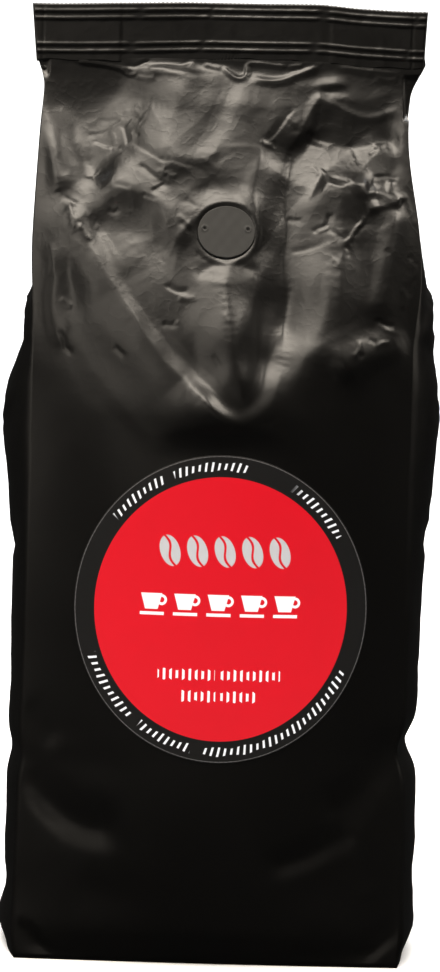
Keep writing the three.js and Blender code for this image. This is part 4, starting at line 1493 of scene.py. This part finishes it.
@dataclass(frozen=True)
class LabelPrint:
    """The sticker's print: a red field in a black ring, with a generic design of beans, cups and marks."""

    red: Color = (0.58, 0.0046, 0.0145)
    black: Color = (0.009, 0.009, 0.0092)
    white: Color = (0.80, 0.84, 0.93)
    grey: Color = (0.45, 0.46, 0.50)
    edge: Color = (0.12, 0.12, 0.125)
    radius: float = 50.9
    field_radius: float = 43.6
    bean_row: float = 19.0
    bean_pitch: float = 9.4
    bean_rows_half: float = 23.5
    cup_row: float = 1.6
    cup_pitch: float = 11.4
    cup_rows_half: float = 28.5
    dash_rows: tuple[tuple[float, float, float], ...] = ((-21.8, 20.9, 2.2), (-28.9, 13.2, 2.2))
    mark_radius: float = 47.1
    mark_degrees: float = 2.75
    cut_inset: float = 0.45
    cut_degrees: float = 1.9
    roughness: float = 0.42
    specular: float = 0.14

    def beans(self, u: Wire, v: Wire) -> Wire:
        """A row of coffee beans: tilted ovals, each with a wavy slit along it.

        Args:
            u: The distances to the right of the label's middle.
            v: The distances up from it.

        Returns:
            1 inside the design and 0 outside it.
        """
        local = (u - 1.0 + 0.5 * self.bean_pitch).wrapped(self.bean_pitch)
        height = v - self.bean_row
        a = local * 0.94 + height * 0.34
        b = height * 0.94 - local * 0.34
        oval = ((a / 3.35) ** 2.0 + (b / 5.3) ** 2.0 - 1.0) * 1.6
        slit = abs(a - (b * 0.62).sine() * 0.75) - 0.42
        row = abs(u - 1.0) - self.bean_rows_half
        return oval.most(-slit).most(row).inside(0.3)

    def cups(self, u: Wire, v: Wire) -> Wire:
        """A row of cups: a bowl that narrows to its foot, a ring for a handle, and a saucer line.

        Args:
            u: The distances to the right of the label's middle.
            v: The distances up from it.

        Returns:
            1 inside the design and 0 outside it.
        """
        local = (u + 0.2 + 0.5 * self.cup_pitch).wrapped(self.cup_pitch) + 0.7
        height = v - self.cup_row
        bowl = (abs(local) - 2.75 - height * 0.28).most(abs(height - 0.5) - 2.6)
        ring = abs(((local - 3.5) ** 2.0 + (height - 1.0) ** 2.0) ** 0.5 - 1.35) - 0.42
        ring = ring.most(2.4 - local)
        saucer = (abs(local - 0.2) - 4.1).most(abs(height + 3.55) - 0.5)
        row = abs(u + 0.2) - self.cup_rows_half
        return bowl.least(ring).least(saucer).most(row).inside(0.3)

    def dashes(self, u: Wire, v: Wire) -> Wire:
        """Two short rows of small upright dashes of uneven height, in groups.

        Args:
            u: The distances to the right of the label's middle.
            v: The distances up from it.

        Returns:
            1 inside the design and 0 outside it.
        """
        marks = None
        for height, half, pitch in self.dash_rows:
            tall = 1.55 + (u * 2.1 + height).sine() * 0.35
            gap = 0.9 - abs(u + 0.05 * height + 1.6)
            dash = (abs(u.wrapped(pitch)) - 0.42).most(abs(v - height) - tall).most(abs(u) - half).most(gap)
            marks = dash if marks is None else marks.least(dash)
        return marks.inside(0.25)

    def marks(self, r: Wire, angle: Wire) -> Wire:
        """Small leaning strokes round the ring, in groups, in an upper and a lower arc.

        The strokes' length changes with a wave along the arc, and a slower wave leaves gaps.

        Args:
            r: The distances from the label's middle.
            angle: The directions from it, in radians.

        Returns:
            1 inside the strokes and 0 outside them.
        """
        along = angle.wrapped(math.radians(self.mark_degrees)) * self.mark_radius
        out = r - self.mark_radius
        length = 1.25 + (angle * 31.0).sine() * 0.3
        stroke = (abs(along + out * 0.25) - 0.36).most(abs(out) - length)
        gap = (angle * 7.3 + (angle * 3.1).sine() * 2.0).sine() * 4.0 - 3.55
        upper, lower = abs(angle - 0.5 * math.pi) - 1.02, abs(angle + 0.5 * math.pi) - 1.22
        return stroke.most(gap).most(upper.least(lower) * 40.0).inside(0.25)

    def make(self, name: str) -> bpy.types.Material:
        """Makes the material.

        Args:
            name: Its name.

        Returns:
            The material.
        """
        material = bpy.data.materials.new(name)
        bench = Bench(material)
        flat = bench.node("ShaderNodeUVMap", {"uv_map": "flat"}, {}, "UV")
        place = bench.place()
        u, v, _ = bench.split(flat)
        u, v = (u - 0.5) * (2.0 * self.radius), (v - 0.5) * (2.0 * self.radius)
        r = (u * u + v * v) ** 0.5
        angle = v.math("ARCTAN2", u)
        cloud = bench.noise(place, 26.0, 3.0)
        fleck = bench.noise(place, 1.2, 3.0, 0.7)
        red = bench.mix(cloud, self.red, scaled(self.red, 0.9))
        field = bench.mix((r - self.field_radius).inside(0.25), self.black, red)
        color = bench.mix(self.beans(u, v), field, self.grey)
        color = bench.mix(self.cups(u, v).most(self.dashes(u, v)), color, self.white)
        color = bench.mix(self.marks(r, angle), color, self.white)
        # The cut edge shows as a thin grey line, a little uneven along its length.
        cut = abs(r - self.radius + self.cut_inset) - 0.14
        cut = cut.most(abs(angle.wrapped(math.radians(self.cut_degrees))) - 0.011)
        color = bench.mix(cut.inside(0.1), color, self.edge)
        rough = self.roughness + (cloud - 0.5) * 0.12 + (fleck - 0.5) * 0.06
        relief = bench.noise(place, 14.0, 2.0) * 0.06 + fleck * 0.004
        bench.set(
            Base_Color=color, Roughness=rough, Normal=bench.bump(relief), Specular_IOR_Level=self.specular,
        )
        return material


@dataclass(frozen=True)
class Softbox:
    """One soft rectangular lamp, aimed at a point of the bag. All lengths are in metres."""

    name: str
    place: tuple[float, float, float]
    aim: tuple[float, float, float]
    size: tuple[float, float]
    power: float
    color: Color = (1.0, 0.905, 0.78)

    def light(self) -> bpy.types.Object:
        """Hangs the lamp.

        Returns:
            The lamp's object.
        """
        data = bpy.data.lights.new(self.name, "AREA")
        data.shape = "RECTANGLE"
        data.size, data.size_y = self.size
        data.energy = self.power
        data.color = self.color
        lamp = bpy.data.objects.new(self.name, data)
        lamp.location = self.place
        lamp.rotation_euler = (Vector(self.aim) - Vector(self.place)).to_track_quat("-Z", "Y").to_euler()
        bpy.context.scene.collection.objects.link(lamp)
        return lamp


@dataclass
class Studio:
    """The plain pale floor and backdrop, the soft lamps and the camera.

    The camera's lengths are in metres, and the floor's are in millimetres.
    """

    camera_distance: float = 0.620
    camera_height: float = 0.160
    camera_x: float = 0.00025
    roll_degrees: float = 1.6
    focal_pixels: float = 1740.6
    picture_height: float = 972.0
    sensor: float = 36.0
    paper: Color = (0.88, 0.90, 0.93)
    surround_light: Color = (0.02, 0.0195, 0.0185)
    surround_seen: Color = (0.92, 0.92, 0.92)
    floor_half_width: float = 2200.0
    floor_front: float = -700.0
    floor_back: float = 1100.0
    floor_bend: float = 500.0
    backdrop_height: float = 2200.0
    lamps: tuple[Softbox, ...] = (
        Softbox("key", (-0.16, -0.44, 1.36), (0.0, -0.03, 0.24), (0.66, 0.38), 17.0),
        Softbox("crossing", (0.605, -0.30, 1.29), (0.0, -0.03, 0.22), (0.28, 0.28), 8.0),
        Softbox("ceiling", (-0.60, -0.76, 1.25), (0.0, -0.03, 0.24), (0.6, 0.5), 6.0),
        Softbox("window", (-0.72, -0.90, 0.74), (0.0, -0.04, 0.20), (0.3, 0.3), 1.5),
        Softbox("front", (-0.5, -1.9, 0.5), (0.0, 0.0, 0.2), (1.6, 0.6), 1.8),
        Softbox("left", (-1.1, -0.3, 0.5), (0.0, 0.0, 0.16), (0.5, 0.7), 2.0),
        Softbox("right", (1.1, 0.0, 0.6), (0.0, 0.0, 0.16), (0.5, 0.6), 1.2),
        Softbox("back", (0.3, 1.0, 1.0), (0.0, 0.0, 0.18), (0.8, 0.7), 8.0),
        Softbox("backdrop", (0.0, 0.7, 1.9), (0.0, 1.5, 0.2), (2.4, 0.6), 60.0, (1.0, 1.0, 1.0)),
    )

    def light(self) -> None:
        """Hangs the lamps, and sets a pale surround that lights the bag only a little."""
        for lamp in self.lamps:
            lamp.light()
        world = bpy.data.worlds.new("surround")
        bpy.context.scene.world = world
        bench = Bench(world, "BACKGROUND")
        seen = bench.node("ShaderNodeLightPath", {}, {}, "Is Camera Ray")
        bench.set(Color=bench.mix(seen, self.surround_light, self.surround_seen))
        bpy.context.scene.view_settings.view_transform = "Standard"

    def floor(self) -> bpy.types.Object:
        """Lays the floor: a sheet of pale paper that curves up far behind the bag.

        Returns:
            The floor's object.
        """
        back, bend = self.floor_back, self.floor_bend
        turn = np.linspace(0.0, 0.5 * math.pi, 17)
        y = np.concatenate(([self.floor_front, back], back + bend * np.sin(turn), [back + bend]))
        z = np.concatenate(([0.0, 0.0], bend * (1.0 - np.cos(turn)), [self.backdrop_height]))
        x = np.tile((-self.floor_half_width, self.floor_half_width), len(y))
        points = np.stack((x, np.repeat(y, 2), np.repeat(z, 2)), -1)
        i = 2 * np.arange(len(y) - 1)
        sheet = mesh_piece("floor_paper", points, (np.stack((i, i + 1, i + 3, i + 2), -1),))
        paper = bpy.data.materials.new("pale_paper")
        bench = Bench(paper)
        cloud = bench.noise(bench.place(), 60.0, 3.0)
        tone = bench.mix(cloud, self.paper, scaled(self.paper, 1.02))
        bench.set(Base_Color=tone, Roughness=0.9, Specular_IOR_Level=0.1)
        sheet.data.materials.append(paper)
        sheet.visible_glossy = False
        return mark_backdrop(sheet)

    def camera(self) -> bpy.types.Object:
        """Sets up the camera at the picture's angle: level, straight in front, and rolled a little.

        Returns:
            The camera's object.
        """
        data = bpy.data.cameras.new("picture_camera")
        data.sensor_fit = "VERTICAL"
        data.sensor_height = self.sensor
        data.lens = self.focal_pixels / self.picture_height * self.sensor
        data.clip_start = 0.01
        camera = bpy.data.objects.new("picture_camera", data)
        camera.location = (self.camera_x, -self.camera_distance, self.camera_height)
        upright = Matrix.Rotation(math.radians(90.0), 3, "X")
        roll = Matrix.Rotation(math.radians(self.roll_degrees), 3, "Z")
        camera.rotation_euler = (upright @ roll).to_euler()
        bpy.context.scene.collection.objects.link(camera)
        bpy.context.scene.camera = camera
        return camera


@dataclass
class CoffeeBag:
    """The whole bag: its film, seal, valve and label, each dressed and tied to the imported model."""

    film: FilmFinish = FilmFinish()
    valve_face: ValveFinish = ValveFinish()
    label_print: LabelPrint = LabelPrint()

    def form(self) -> BagForm:
        """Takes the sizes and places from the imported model.

        Returns:
            The bag's form.
        """
        bag_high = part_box("bag")[1] / MM
        label_low, label_high = (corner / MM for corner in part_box("label"))
        valve_low, valve_high = (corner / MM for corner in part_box("valve"))
        label = 0.5 * (label_low + label_high)
        valve = 0.5 * (valve_low + valve_high)
        return BagForm(
            height=bag_high.z,
            half_width=bag_high.x,
            valve=(valve.x, valve.z),
            valve_radius=0.5 * (valve_high.x - valve_low.x),
            label=(label.x, label.z),
            label_half=(0.5 * (label_high.x - label_low.x), 0.5 * (label_high.z - label_low.z)),
        )

    def dress(self, piece: bpy.types.Object, finish: bpy.types.Material, node: str) -> None:
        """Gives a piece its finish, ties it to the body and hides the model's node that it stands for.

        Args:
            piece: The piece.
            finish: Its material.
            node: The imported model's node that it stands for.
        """
        piece.data.materials.append(finish)
        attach(piece, BODY)
        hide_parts(node)

    def build(self) -> None:
        """Builds and dresses every piece."""
        form = self.form()
        film = self.film.make("satin_black_film")
        for part in (FilmBody(form), SealFin(form)):
            self.dress(part.build(), film, "bag")
        self.dress(Valve(form).build(), self.valve_face.make("valve_face"), "valve")
        self.dress(Label(form).build(), self.label_print.make("label_print"), "label")


def main() -> None:
    """Builds the bag and the studio round it."""
    logging.basicConfig(level=logging.INFO, format="%(name)s: %(message)s")
    CoffeeBag().build()
    studio = Studio()
    studio.floor()
    studio.light()
    studio.camera()


if __name__ == "__main__":
    main()
